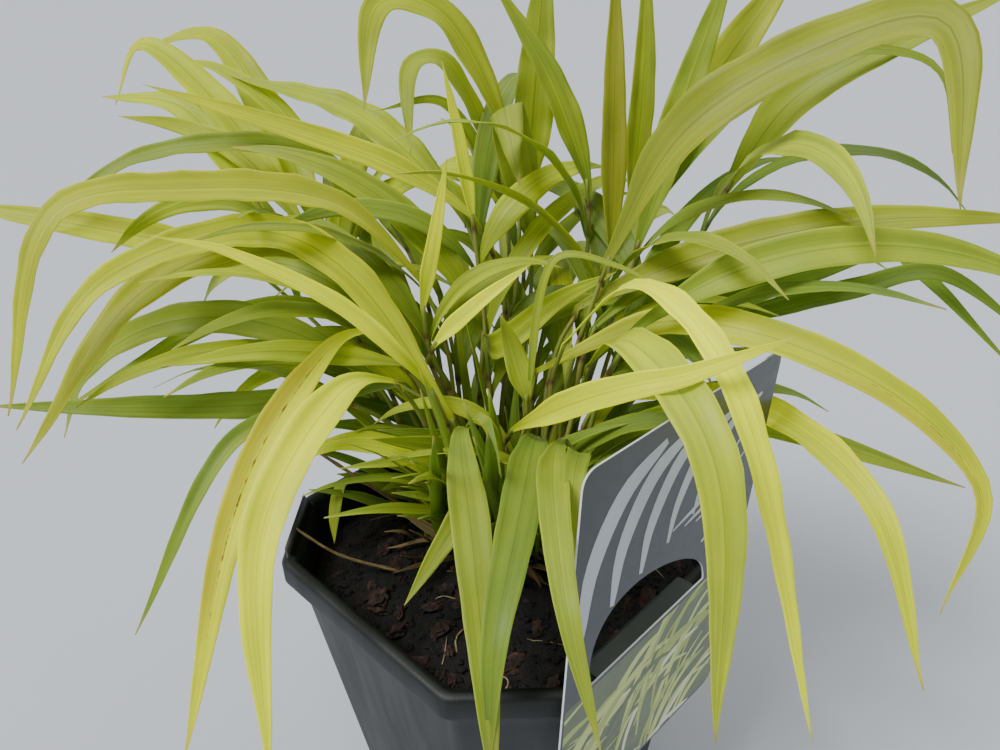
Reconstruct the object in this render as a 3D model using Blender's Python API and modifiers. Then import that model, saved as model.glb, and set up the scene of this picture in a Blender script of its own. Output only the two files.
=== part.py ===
# Golden Hakone grass growing in its square nursery pot: pot, soil, plant label and leafy stems.
# Millimetre values are turned into metres by mm. The origin is the middle of the pot's base.

import math
import random

import bmesh
import bpy
from mathutils import Matrix, Vector
from mathutils.bvhtree import BVHTree

mm = 0.001

# Driving dimensions of the pot, square in plan with cut corners, one corner towards -Y
potTurn = math.radians(45)
potHeight = 140 * mm
rimHalf = 75 * mm  # half the width across the flats of the rim's band
cornerCut = 28 * mm  # length that each cut corner takes off a side
cornerRadius = 7 * mm
bandStep = 4 * mm  # how far the band stands out from the wall
bandDrop = 9 * mm
wallThick = 1.4 * mm
wallTaper = 0.125  # inward run of the wall for each unit of depth
drainRadius = 4.5 * mm
drainReach = 36 * mm  # from the middle of the base to each drain hole
drainSides = 10
rimRound = 0.8 * mm
bandFillet = 1.2 * mm
halfCornerTurn = math.radians(22.5)  # half of the turn at each of the pot's eight corners

# Soil
fitGap = 0.3 * mm
soilEdgeZ = 121 * mm
soilCrownZ = 126 * mm
holeRadius = 1.9 * mm
holeDepth = 11 * mm
cutterLength = 20 * mm
footDepth = 9 * mm

# Plant label, in the plane of the side that faces +X and -Y: x along the rim, z up from the base
labelCorners = [(-62, 90), (33, 86), (74, 214), (-40, 218)]
labelCornerRadius = 6
labelThick = 0.7 * mm
labelLean = math.radians(4)
slotMiddle = -8
slotHalf = 33
slotRise = 24
tongueHalf = 28 * mm
tongueFootZ = 127 * mm

# Leafy stems
crown = Vector((0, 20, 0)) * mm
crownRadius = 37 * mm
footSpacing = 8.0 * mm
culmFootRadius = 1.25 * mm
culmTipRadius = 0.95 * mm
culmSteps = 6
culmParts = 30
mainSteps = 9
sideSteps = 5
bladeThick = 0.9 * mm
clearance = 0.45 * mm
leafFace = Vector((0, -0.75, 0.66))  # the way most blades on the showing side turn their faces
stemTries = 400
bendStep = 0.07 * mm  # each further try may bend a stem by this much more
joinReach = 4 * mm  # a course that starts this near its culm starts on it
culmStart = 0.45  # share of a culm's rise that leaves the soil upright
culmEnd = 0.35  # share that arrives in line with the blade

# Rules for the blades that no course is given for. Angles are in degrees: bearing from the blade's
# heading, rise at the root and fall at the tip. Places are of the culm's parts, counted from its foot.
sideRule = {
    "seed": " sides", "wanted": 3, "tries": 40, "places": (culmParts // 3, culmParts - 3),
    "outward": False, "bearing": (35, 125), "length": (70, 150), "rise": (55, 78), "fall": (-60, 0),
    "width": (8, 14), "lowest": 132 * mm, "openFront": True,
}
crownRule = {
    "seed": " crown", "wanted": 1, "tries": 40, "places": (culmParts // 6, culmParts // 2),
    "outward": True, "bearing": (0, 75), "length": (32, 78), "rise": (35, 75), "fall": (-45, 20),
    "width": (5, 8.5), "lowest": 128 * mm, "openFront": False,
}
bladeCurl = 0.5  # radians that a blade may wander from its bearing
bladeRoll = 0.3
openFrontDepth = -30 * mm  # side blades stay behind this where the front shows the pot
openFrontHalf = 120 * mm
openMiddleDepth = 30 * mm  # and behind this over the crown, where the main blades show
openMiddleHalf = 50 * mm
openMiddleLow = 188 * mm
furthestFront = -60 * mm

# Courses of the main blades, root first: (width, points) in mm. The first blade of a stem tops its
# culm, and each later one springs from the culm's nearest point.
stemBlades = {
    "front_left_inner": [(14, [(-40, 10, 200), (-55, -15, 210), (-75, -60, 185), (-70, -105, 130)]),
                         (5, [(-25, 5, 170), (-60, -10, 175)])],
    "front_left_outer": [(12, [(-50, 35, 210), (-65, 20, 210), (-90, -30, 180), (-105, -85, 115)])],
    "left_low_drop": [(7, [(-60, 20, 185), (-100, -5, 185), (-130, -50, 135)]),
                      (8, [(-20, 12, 172), (-47, 3, 183)])],
    "centre_bright": [(6.5, [(-25, 25, 210), (-5, 20, 230), (15, 20, 245)]),
                      (9, [(-20, 10, 170), (-50, 0, 180)])],
    "front_middle_light": [(13, [(-10, 5, 180), (-15, -8, 187), (-10, -55, 172), (-6, -96, 153),
                                 (-5, -104, 121)]),
                           (3, [(-5, -5, 190), (0, -25, 175)])],
    "front_middle_dark": [(14, [(15, 15, 170), (12, -5, 180), (5, -50, 180), (-3, -86, 165),
                                (-5, -98, 133)])],
    "front_middle_right": [(10, [(22, 0, 178), (18, -20, 185), (15, -55, 193), (16, -90, 184),
                                 (24, -106, 150)]),
                           (8, [(26, -30, 192), (24, -65, 203), (20, -97, 172)])],
    "front_short_left": [(10, [(5, 5, 165), (-10, -15, 165), (-35, -50, 145)]),
                         (6, [(20, -10, 175)])],
    "right_level_bright": [(10, [(5, 5, 180), (19, -18, 202), (30, -37, 218), (41, -49, 228),
                                 (55, -51, 232), (86, -48, 242)])],
    "right_low_green": [(12, [(30, 5, 160), (55, 8, 180), (105, 18, 172), (165, -25, 170)])],
    "right_heavy_drop": [(15, [(35, 20, 200), (44, -20, 228), (60, -72, 212), (65, -88, 120)])],
    "right_bright_drop": [(10, [(25, 20, 210), (50, 5, 238), (72, -48, 220), (95, -88, 120)])],
    "right_brown_tip": [(13, [(15, 25, 195), (65, 15, 220), (120, -20, 215), (155, -45, 185),
                              (140, -65, 150)])],
    "right_arch_low": [(12, [(40, 20, 185), (95, 18, 182), (120, -38, 177), (130, -75, 130)])],
    "right_level_olive": [(15, [(35, 45, 215), (85, 35, 240), (135, 20, 255), (185, 0, 260)])],
    "right_dark_green": [(18, [(60, 45, 205), (105, 40, 225), (150, 40, 235)])],
    "right_arch_green": [(9, [(85, 50, 200), (140, 40, 220), (170, 30, 230), (200, 10, 210)])],
    "right_bent_olive": [(9, [(65, 65, 210), (150, 55, 235), (170, 40, 225), (200, 15, 195)])],
    "upper_right_big": [(20, [(45, 45, 235), (70, 40, 285), (115, 30, 315), (145, 15, 320),
                              (145, -15, 270)])],
    "upper_right_second": [(17, [(100, 80, 255), (120, 75, 290), (150, 70, 310), (195, 65, 330)])],
    "upper_right_orange": [(19, [(70, 80, 260), (90, 85, 295), (125, 90, 345)]),
                           (6, [(95, 72, 285), (125, 70, 303), (152, 71, 305), (172, 68, 296),
                                (178, 58, 268)])],
    "upright_orange": [(11, [(50, 75, 225), (50, 85, 280), (50, 100, 345)])],
    "upright_pale": [(14, [(60, 65, 235), (75, 75, 285), (95, 85, 345)])],
    "upright_green": [(11, [(60, 90, 245), (65, 105, 295), (65, 115, 345)])],
    "upright_left_lean": [(12, [(40, 90, 255), (25, 95, 295), (0, 100, 335)])],
    "upright_broad": [(18, [(15, 110, 245), (20, 120, 300), (25, 130, 350)])],
    "upright_folded": [(18, [(15, 90, 235), (5, 95, 285), (10, 60, 260)])],
    "top_arch_left": [(15, [(5, 100, 275), (-20, 105, 320), (-45, 95, 325), (-50, 65, 290)])],
    "top_arch_small": [(11, [(0, 110, 260), (-20, 115, 300), (-35, 110, 300), (-35, 80, 270)]),
                       (6, [(-20, 105, 285), (-50, 95, 285)])],
    "upright_needle": [(6, [(-10, 75, 245), (-15, 80, 280), (-20, 85, 305)]),
                       (11, [(0, 40, 200), (25, 50, 215), (50, 55, 225)])],
    "upright_point": [(6, [(-30, 35, 220), (-25, 45, 245), (-20, 55, 270)])],
    "back_left_high": [(18, [(-80, 100, 230), (-100, 130, 265), (-135, 165, 310), (-175, 165, 305)])],
    "back_left_second": [(16, [(-90, 95, 240), (-120, 120, 280), (-160, 140, 310), (-175, 130, 285)])],
    "back_left_third": [(13, [(-110, 100, 250), (-140, 120, 285), (-180, 130, 290)])],
    "back_left_fourth": [(12, [(-88, 91, 240), (-112, 106, 265), (-139, 113, 277), (-166, 111, 283)])],
    "back_left_fifth": [(10, [(-78, 114, 255), (-101, 127, 283), (-127, 136, 299), (-148, 138, 303)])],
    "left_bright_streak": [(11, [(-10, 75, 245), (-45, 85, 265), (-100, 90, 285), (-145, 90, 300)])],
    "left_high_green": [(15, [(-15, 85, 245), (-60, 115, 280), (-120, 135, 295)])],
    "left_thin_arch": [(10, [(-50, 90, 245), (-85, 95, 270), (-150, 90, 270), (-195, 70, 245)])],
    "left_big_level": [(14, [(-30, 40, 230), (-60, 45, 260), (-110, 35, 270), (-155, 20, 265),
                             (-170, -15, 205)])],
    "left_edge": [(14, [(-115, 85, 225), (-165, 80, 240), (-235, 80, 255)])],
    "left_big_arch": [(14, [(-20, 15, 180), (-55, 30, 235), (-90, 30, 255), (-140, 5, 245),
                            (-165, -25, 205)])],
    "left_broad_olive": [(16, [(-40, 40, 210), (-75, 40, 245), (-130, 20, 235), (-165, -25, 190)])],
    "left_low_level": [(11, [(-40, 25, 190), (-95, 10, 190), (-145, 0, 195), (-195, -5, 200)]),
                       (6, [(-20, 5, 150), (-45, -5, 160)])],
    "left_low_arch": [(9, [(-55, 55, 210), (-105, 45, 215), (-170, 15, 190)])],
    "left_bright_tip": [(6, [(-25, -2, 203), (-35, -8, 221), (-55, -6, 240), (-89, -2, 257),
                             (-113, -2, 263)])],
    "left_level": [(9, [(-40, 25, 200), (-85, 20, 210), (-125, 10, 210)])],
    "centre_short": [(10, [(10, 15, 190), (5, 20, 205), (0, 25, 220)]),
                     (3.5, [(20, 25, 240), (45, 20, 240), (65, 10, 230)])],
}

# Stems of the far side, which arch outwards by a rule: bearing in degrees, 90 at the back
backStems = 11
backBearings = (-8, 172)
backReach = (38, 62)
backHeight = (180, 225)
backLength = (120, 175)
backRise = (30, 55)
backFall = (-75, -35)
backWidth = (10, 15)

partCollection = bpy.data.collections.new("japanese_forest_grass")


def clearScene():
    for obj in list(bpy.data.objects):
        bpy.data.objects.remove(obj)
    bpy.context.scene.collection.children.link(partCollection)


def makeMaterial(name, colour, roughness):
    material = bpy.data.materials.new(name)
    material.use_nodes = True
    shader = material.node_tree.nodes["Principled BSDF"]
    shader.inputs["Base Color"].default_value = (*colour, 1)
    shader.inputs["Roughness"].default_value = roughness
    shader.inputs["Metallic"].default_value = 0
    return material


def meshObject(name, points, faces):
    mesh = bpy.data.meshes.new(name)
    mesh.from_pydata([tuple(p) for p in points], [], faces)
    shape = bmesh.new()
    shape.from_mesh(mesh)
    bmesh.ops.recalc_face_normals(shape, faces=shape.faces)
    shape.to_mesh(mesh)
    shape.free()
    obj = bpy.data.objects.new(name, mesh)
    partCollection.objects.link(obj)
    return obj


def evaluatedMesh(obj):
    graph = bpy.context.evaluated_depsgraph_get()
    return bpy.data.meshes.new_from_object(obj.evaluated_get(graph))


def applyModifiers(obj):
    mesh = evaluatedMesh(obj)
    obj.modifiers.clear()
    obj.data = mesh


def isClosed(mesh):
    uses = {}
    for polygon in mesh.polygons:
        for key in polygon.edge_keys:
            uses[key] = uses.get(key, 0) + 1
    return bool(uses) and all(count == 2 for count in uses.values())


def keepLargestShell(mesh):
    # drops scraps and the walls of sealed hollows, which a union can leave
    shape = bmesh.new()
    shape.from_mesh(mesh)
    left = set(shape.verts)
    shells = []
    while left:
        shell = {left.pop()}
        edge = list(shell)
        while edge:
            vert = edge.pop()
            for link in vert.link_edges:
                other = link.other_vert(vert)
                if other in left:
                    left.discard(other)
                    shell.add(other)
                    edge.append(other)
        shells.append(shell)
    shells.sort(key=len)
    for shell in shells[:-1]:
        bmesh.ops.delete(shape, geom=list(shell), context="VERTS")
    shape.to_mesh(mesh)
    shape.free()


def booleanWithAll(obj, others, operation):
    # one Boolean with a collection of shapes, which is emptied afterwards
    group = bpy.data.collections.new(obj.name + "_group")
    bpy.context.scene.collection.children.link(group)
    for other in others:
        for holder in list(other.users_collection):
            holder.objects.unlink(other)
        group.objects.link(other)
    modifier = obj.modifiers.new(operation.lower(), "BOOLEAN")
    modifier.operation = operation
    modifier.operand_type = "COLLECTION"
    modifier.collection = group
    for solver in ("EXACT", "MANIFOLD"):
        modifier.solver = solver
        mesh = evaluatedMesh(obj)
        if isClosed(mesh):
            break
    obj.modifiers.clear()
    keepLargestShell(mesh)
    obj.data = mesh
    for other in others:
        bpy.data.objects.remove(other)
    bpy.data.collections.remove(group)


def potOutline(half, cut, radius, z):
    # square with cut corners, each of its eight corners turned by a short arc
    corners = []
    for quarter in range(4):
        turn = Matrix.Rotation(potTurn + quarter * math.pi / 2, 3, "Z")
        corners.append(turn @ Vector((half, -half + cut, 0)))
        corners.append(turn @ Vector((half, half - cut, 0)))
    points = []
    for before, corner, after in zip(corners[-1:] + corners[:-1], corners, corners[1:] + corners[:1]):
        reach = radius * math.tan(halfCornerTurn)
        back = (before - corner).normalized() * reach
        ahead = (after - corner).normalized() * reach
        for end in (corner + back, corner + ahead):
            points.append(Vector((end.x, end.y, z)))
    return points


def loftRings(rings):
    # side faces between rings of equal count, without end faces
    count = len(rings[0])
    points = [p for ring in rings for p in ring]
    faces = []
    for level in range(len(rings) - 1):
        for i in range(count):
            a = level * count + i
            b = level * count + (i + 1) % count
            faces.append((a, b, b + count, a + count))
    return points, faces


def wallHalf(z):
    # half the width of the wall's outer face at this height
    return rimHalf - bandStep - wallTaper * (potHeight - z)


def wallRing(z, inset=0):
    half = wallHalf(z) - inset
    return potOutline(half, cornerCut * half / rimHalf, cornerRadius, z)


def buildPot(material):
    # the wall's outer face runs on under the rim and inside its band, which thicken outwards
    under = potHeight - wallThick
    half = rimHalf - wallThick
    rings = [
        wallRing(0),
        wallRing(under - bandFillet),
        potOutline(wallHalf(potHeight) + 1.0 * mm, cornerCut - 1.5 * mm, cornerRadius, under),
        potOutline(half - rimRound, cornerCut, cornerRadius, under),
        potOutline(half, cornerCut, cornerRadius, under - rimRound),
        potOutline(half, cornerCut, cornerRadius, potHeight - bandDrop),
    ]
    points, faces = loftRings(rings)
    base = list(range(len(rings[0])))
    faces.append(tuple(reversed(base)))
    pot = meshObject("pot", points, faces)
    pot.data.materials.append(material)
    if pot.data.polygons[-1].normal.z > 0:
        pot.data.flip_normals()
    shell = pot.modifiers.new("wall", "SOLIDIFY")
    shell.thickness = wallThick
    shell.offset = -1
    shell.use_even_offset = True
    applyModifiers(pot)
    drains = []
    for i in range(4):
        bearing = potTurn + i * math.pi / 2
        place = Vector((math.cos(bearing), math.sin(bearing), 0)) * drainReach
        bpy.ops.mesh.primitive_cylinder_add(
            vertices=drainSides, radius=drainRadius, depth=6 * wallThick, location=place)
        drains.append(bpy.context.active_object)
    booleanWithAll(pot, drains, "DIFFERENCE")
    return pot


def soilHeight(place):
    # gentle dome, highest at the crown
    reach = min(1, Vector((place.x, place.y, 0)).length / rimHalf)
    return soilCrownZ + (soilEdgeZ - soilCrownZ) * reach * reach


def buildSoil(material, feet):
    edge = wallRing(soilEdgeZ, wallThick + fitGap)
    rings = [wallRing(wallThick + fitGap, wallThick + fitGap), edge]
    for scale in (0.66, 0.33):
        ring = [Vector((p.x * scale, p.y * scale, 0)) for p in edge]
        rings.append([Vector((p.x, p.y, soilHeight(p))) for p in ring])
    points, faces = loftRings(rings)
    count = len(edge)
    faces.append(tuple(reversed(range(count))))
    last = len(points) - count
    points.append(Vector((0, 0, soilCrownZ)))
    for i in range(count):
        faces.append((last + i, last + (i + 1) % count, len(points) - 1))
    soil = meshObject("soil", points, faces)
    soil.data.materials.append(material)
    holes = []
    for foot in feet:
        place = (foot.x, foot.y, soilHeight(foot) - holeDepth + cutterLength / 2)
        bpy.ops.mesh.primitive_cylinder_add(
            vertices=6, radius=holeRadius, depth=cutterLength, location=place)
        holes.append(bpy.context.active_object)
    booleanWithAll(soil, holes, "DIFFERENCE")
    return soil


def roundedOutline(corners, radius, steps=3):
    points = []
    for before, corner, after in zip(corners[-1:] + corners[:-1], corners, corners[1:] + corners[:1]):
        start = corner + (before - corner).normalized() * radius
        end = corner + (after - corner).normalized() * radius
        for k in range(steps + 1):
            t = k / steps
            points.append(start * (1 - t) ** 2 + corner * 2 * t * (1 - t) + end * t * t)
    return points


def slotOutline(steps=10):
    # straight along the rim's top, arched above it
    points = []
    for k in range(steps + 1):
        angle = math.pi * k / steps
        x = slotMiddle + slotHalf * math.cos(angle)
        z = potHeight / mm + 0.8 + slotRise * math.sin(angle) ** 0.8 * (1 - 0.25 * math.cos(angle))
        points.append(Vector((x, z)))
    return points


def buildLabel(material):
    outline = bpy.data.curves.new("label_outline", "CURVE")
    outline.dimensions = "2D"
    outline.fill_mode = "BOTH"
    outline.extrude = labelThick / 2
    edge = roundedOutline([Vector(c) for c in labelCorners], labelCornerRadius)
    for points in (edge, slotOutline()):
        spline = outline.splines.new("POLY")
        spline.points.add(len(points) - 1)
        for point, place in zip(spline.points, points):
            point.co = (place.x * mm, place.y * mm - potHeight, 0, 1)
        spline.use_cyclic_u = True
    card = bpy.data.objects.new("card_outline", outline)
    partCollection.objects.link(card)
    mesh = evaluatedMesh(card)
    bpy.data.objects.remove(card)
    shape = bmesh.new()
    shape.from_mesh(mesh)
    bmesh.ops.remove_doubles(shape, verts=shape.verts, dist=0.01 * mm)
    shape.to_mesh(mesh)
    shape.free()
    label = bpy.data.objects.new("plant_label", mesh)
    partCollection.objects.link(label)
    label.data.materials.clear()
    label.data.materials.append(material)
    tongue = labelTongue()
    stand = Matrix.Translation((0, -(rimHalf + fitGap + labelThick), potHeight))
    lean = Matrix.Rotation(math.pi / 2 - labelLean, 4, "X")
    label.matrix_world = Matrix.Rotation(potTurn, 4, "Z") @ stand @ lean
    tongue.matrix_world = Matrix.Rotation(potTurn, 4, "Z")
    bpy.context.view_layer.update()
    booleanWithAll(label, [tongue], "UNION")
    return label


def labelTongue():
    # the flap that hooks over the rim: a bent strip across the slot's foot, before the pot's turn
    top = potHeight + fitGap + labelThick / 2 + 0.1 * mm
    inner = wallHalf(potHeight) - wallThick - fitGap - labelThick
    drop = top - tongueFootZ
    path = [
        (rimHalf + fitGap + labelThick, top),
        (inner + 1.2 * mm, top),
        (inner - 0.4 * mm, top - 1.6 * mm),
        (inner - 0.4 * mm - wallTaper * drop, tongueFootZ),
    ]
    points = []
    for reach, z in path:
        for side in (-1, 1):
            inset = 7 * mm * max(0, (top - z) / drop)
            points.append(Vector((slotMiddle * mm + side * (tongueHalf - inset), -reach, z)))
    faces = [(2 * i, 2 * i + 1, 2 * i + 3, 2 * i + 2) for i in range(len(path) - 1)]
    tongue = meshObject("tongue", points, faces)
    sheet = tongue.modifiers.new("sheet", "SOLIDIFY")
    sheet.thickness = labelThick * 0.9
    sheet.offset = 0
    sheet.use_even_offset = True
    applyModifiers(tongue)
    return tongue


def smoothCourse(points, steps):
    # points at equal spacing along a smooth curve through these
    knots = [0.0]
    for a, b in zip(points, points[1:]):
        knots.append(knots[-1] + math.sqrt((b - a).length))
    last = len(points) - 1
    slopes = []
    for i in range(last + 1):
        low = max(i - 1, 0)
        high = min(i + 1, last)
        slopes.append((points[high] - points[low]) / (knots[high] - knots[low]))
    dense = []
    for i in range(last):
        span = knots[i + 1] - knots[i]
        for k in range(16):
            t = k / 16
            start = points[i] * (1 + 2 * t) * (1 - t) ** 2 + slopes[i] * span * t * (1 - t) ** 2
            end = points[i + 1] * t * t * (3 - 2 * t) + slopes[i + 1] * span * t * t * (t - 1)
            dense.append(start + end)
    dense.append(points[last])
    return evenPoints(dense, steps)


def evenPoints(dense, steps):
    run = [0.0]
    for a, b in zip(dense, dense[1:]):
        run.append(run[-1] + (b - a).length)
    course = []
    i = 0
    for k in range(steps + 1):
        goal = run[-1] * k / steps
        while i < len(run) - 2 and run[i + 1] < goal:
            i += 1
        share = (goal - run[i]) / max(run[i + 1] - run[i], 1e-9)
        course.append(dense[i].lerp(dense[i + 1], min(1, share)))
    return course


def tangentsOf(course):
    last = len(course) - 1
    return [(course[min(i + 1, last)] - course[max(i - 1, 0)]).normalized() for i in range(last + 1)]


def sidesOf(course, tangents, face, roll):
    # width directions, carried along the course from its middle so that the blade doesn't flip
    middle = len(course) // 2
    side = (course[-1] - course[0]).cross(face)
    side = (side - tangents[middle] * side.dot(tangents[middle])).normalized()
    if side.cross(tangents[middle]).dot(face) < 0:
        side = -side
    side = Matrix.Rotation(roll, 3, tangents[middle]) @ side
    sides = [None] * len(course)
    for order in (range(middle, len(course)), range(middle, -1, -1)):
        carried = side
        for i in order:
            carried = (carried - tangents[i] * carried.dot(tangents[i])).normalized()
            sides[i] = carried
    return sides


def widthAt(t):
    # narrow at the sheath, broadest at a third of the length, drawn out to a fine point
    if t < 0.35:
        rise = t / 0.35
        return 0.18 + 0.82 * rise * rise * (3 - 2 * rise)
    return 1 - ((t - 0.35) / 0.65) ** 1.9


def bladeSections(blade, steps, grow=0.0):
    # sections of left edge, midrib, right edge and keel, fattened by grow on every side
    course = smoothCourse(blade["points"], steps)
    tangents = tangentsOf(course)
    sides = sidesOf(course, tangents, blade["face"], blade["roll"])
    sections = []
    for i in range(steps):
        t = i / steps
        half = blade["width"] * widthAt(t) / 2 + grow
        up = sides[i].cross(tangents[i])
        keel = bladeThick * (1 - 0.35 * t) + grow
        fold = blade["fold"] * half
        edge = up * fold
        ring = [course[i] - sides[i] * half + edge, course[i] + up * grow,
                course[i] + sides[i] * half + edge, course[i] - up * keel]
        if not blade["ribbed"]:
            ring = [ring[0], ring[2], course[i] - up * keel]
        sections.append(ring)
    return sections, course[-1] + tangents[-1] * grow


def closedLoft(sections, tip):
    # triangles of a loft with a flat root and a pointed tip, split alike on the upper and lower face
    count = len(sections[0])
    points = [p for ring in sections for p in ring]
    faces = []
    for level in range(len(sections) - 1):
        for i in range(count):
            a = level * count + i
            b = level * count + (i + 1) % count
            if i < count // 2:
                faces.append((a, b, b + count))
                faces.append((a, b + count, a + count))
            else:
                faces.append((a, b, a + count))
                faces.append((b, b + count, a + count))
    last = len(points) - count
    points.append(tip)
    for i in range(count):
        faces.append((last + i, last + (i + 1) % count, len(points) - 1))
    for i in range(2, count):
        faces.append((1, (i + 1) % count, i))
    return points, faces


def culmCourse(foot, blade, bow):
    # from the soil to the main blade's root, upright in the soil and in line with the blade above
    tip = blade[0]
    ahead = (blade[1] - blade[0]).normalized()
    start = Vector((foot.x, foot.y, soilHeight(foot) + 2 * mm))
    rise = (tip - start).length
    leave = Vector((0, 0, 1)) * rise * culmStart
    arrive = (ahead + Vector((0, 0, 0.8))).normalized() * rise * culmEnd
    points = [Vector((foot.x, foot.y, soilHeight(foot) - footDepth)), start]
    for k in range(1, 25):
        t = k / 24
        a = start * (1 - t) ** 3 + (start + leave) * 3 * t * (1 - t) ** 2
        b = (tip - arrive) * 3 * t * t * (1 - t) + tip * t ** 3
        points.append(a + b + bow * math.sin(math.pi * t) ** 2)
    return points


def culmSections(course, grow=0.0):
    rings = []
    last = len(course) - 1
    for i, tangent in enumerate(tangentsOf(course)):
        radius = culmFootRadius + (culmTipRadius - culmFootRadius) * i / last + grow
        across = tangent.cross(Vector((0.3, 1, 0.1))).normalized()
        other = tangent.cross(across)
        rings.append([course[i] + across * radius, course[i] + other * radius,
                      course[i] - across * radius, course[i] - other * radius])
    return rings, course[last] + (course[last] - course[last - 1]).normalized() * 0.5 * mm


def sparseCulm(course):
    return course[:2] + evenPoints(course[1:], culmSteps - 1)[1:]


class Thicket:
    # all that is placed so far, as one search tree of triangles that know their owner

    def __init__(self):
        self.points = []
        self.faces = []
        self.owners = []

    def add(self, points, faces, owner):
        base = len(self.points)
        self.points.extend(points)
        self.faces.extend(tuple(i + base for i in face) for face in faces)
        self.owners.extend([owner] * len(faces))
        self.tree = BVHTree.FromPolygons(self.points, self.faces)

    def addObject(self, obj):
        mesh = obj.data
        mesh.calc_loop_triangles()
        points = [obj.matrix_world @ v.co for v in mesh.vertices]
        self.add(points, [tuple(t.vertices) for t in mesh.loop_triangles], obj.name)

    def meets(self, points, faces, owner, ownFree, passes=()):
        # ownFree: the first faces, which may meet their owner where they grow out of it
        tree = BVHTree.FromPolygons(points, faces)
        for mine, other in tree.overlap(self.tree):
            name = self.owners[other]
            if name in passes or name == owner + " culm":
                continue
            if name != owner or mine >= ownFree:
                return True
        return False


def drawOffset(draw, size):
    # mostly forward or back, and a little to any side
    depth = draw.uniform(-1, 1) * size
    aside = draw.uniform(-0.3, 0.3) * size
    return Vector((aside, -0.9 * depth, 0.43 * depth + draw.uniform(-0.25, 0.25) * size))


def bendPoints(points, offset):
    # the offset grows from nothing at the root
    bent = []
    for i, point in enumerate(points):
        share = min(1, i / max(1, len(points) - 1) + 0.35) if i else 0
        bent.append(point + offset * share)
    return bent


def sideBlade(culm, width, points, draw):
    # springs from the culm's nearest point above its lower third
    culm = evenPoints(culm, culmParts)
    at = min(range(culmParts // 3, culmParts - 3), key=lambda i: (culm[i] - points[0]).length)
    start = culm[at]
    if (points[0] - start).length < joinReach and len(points) > 1:
        points = points[1:]
    low = culm[at - 2]
    return {"width": width, "points": [low, start] + points, "face": leafFace, "ribbed": True,
            "roll": draw.uniform(-0.15, 0.15), "fold": 0.12}


def tryStem(foot, specs, draw, size):
    # one draft of a stem: culm course and blades, with bends up to this size
    root = Vector(specs[0][1][0]) * mm + drawOffset(draw, size * 0.4)
    main = [root] + [Vector(p) * mm for p in specs[0][1][1:]]
    main = bendPoints(main, drawOffset(draw, size))
    bow = Vector((draw.uniform(-1, 1), draw.uniform(-1, 1), 0)) * size
    culm = sparseCulm(culmCourse(foot, main, bow))
    low = evenPoints(culm, culmParts)[-3]
    blades = [{"width": specs[0][0] * mm, "points": [low] + main, "face": leafFace, "ribbed": True,
               "roll": draw.uniform(-0.12, 0.12), "fold": 0.14}]
    for width, points in specs[1:]:
        course = bendPoints([Vector(p) * mm for p in points], drawOffset(draw, size * 0.6))
        blades.append(sideBlade(culm, width * mm, course, draw))
    return culm, blades


def placeStem(thicket, name, foot, specs):
    draw = random.Random(name)
    for attempt in range(stemTries):
        culm, blades = tryStem(foot, specs, draw, bendStep * attempt)
        if thicket.meets(*closedLoft(*culmSections(culm, clearance)), name, 0, ("soil",)):
            continue
        drafts = [closedLoft(*bladeSections(blade, mainSteps, clearance)) for blade in blades]
        if any(thicket.meets(*draft, name, 0) for draft in drafts):
            continue
        thicket.add(*closedLoft(*culmSections(culm)), name + " culm")
        for blade in blades:
            thicket.add(*closedLoft(*bladeSections(blade, mainSteps)), name)
        return {"name": name, "culm": culm, "blades": blades}
    print("no room for", name)
    return None


def archPoints(start, bearing, length, rise, fall, curl, count=7):
    # a blade that leaves at the angle rise and ends at the angle fall
    points = [start]
    for k in range(count):
        t = (k + 0.5) / count
        lift = rise + (fall - rise) * t ** 1.1
        way = bearing + curl * t
        step = Vector((math.cos(way) * math.cos(lift), math.sin(way) * math.cos(lift), math.sin(lift)))
        points.append(points[-1] + step * length / count)
    return points


def backStemSpecs():
    draw = random.Random("far side")
    specs = {}
    for i in range(backStems):
        low, high = backBearings
        bearing = math.radians(low + (high - low) * i / (backStems - 1) + draw.uniform(-5, 5))
        reach = draw.uniform(*backReach) * mm
        height = draw.uniform(*backHeight) * mm
        root = crown + Vector((math.cos(bearing) * reach, math.sin(bearing) * reach, height))
        length = draw.uniform(*backLength) * mm
        rise = math.radians(draw.uniform(*backRise))
        fall = math.radians(draw.uniform(*backFall))
        course = archPoints(root, bearing, length, rise, fall, draw.uniform(-0.3, 0.3), 5)
        width = draw.uniform(*backWidth)
        specs["back_%02d" % (i + 1)] = [(width, [p / mm for p in course])]
    return specs


def footGoal(specs):
    root = Vector(specs[0][1][0]) * mm
    tip = Vector(specs[0][1][-1]) * mm
    lean = (root - crown) * 0.42 + (tip - root) * 0.07
    goal = Vector((lean.x, lean.y, 0))
    if goal.length > crownRadius:
        goal = goal.normalized() * crownRadius
    return crown + goal


def spreadFeet(specs):
    # feet start under their leaves and push each other apart until they have room
    names = list(specs)
    feet = [footGoal(specs[name]) for name in names]
    for turn in range(300):
        for i in range(len(feet)):
            for j in range(i):
                apart = feet[i] - feet[j]
                if apart.length < 1e-6:
                    apart = Vector((1e-4, 1e-4 * (i - j), 0))
                if apart.length < footSpacing:
                    push = apart.normalized() * (footSpacing - apart.length) * 0.25
                    feet[i] = feet[i] + push
                    feet[j] = feet[j] - push
    return dict(zip(names, feet))


def allowedCourse(course, rule):
    # the front is left open above the rim and over the crown, and nothing reaches past the pot's foot
    tip = course[-1]
    if min(p.z for p in course) < rule["lowest"] or tip.y < furthestFront:
        return False
    atFront = tip.y < openFrontDepth and abs(tip.x) < openFrontHalf
    overCrown = any(abs(p.x) < openMiddleHalf and p.y < openMiddleDepth and p.z > openMiddleLow
                    for p in course[1:])
    return not (rule["openFront"] and (atFront or overCrown))


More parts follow.
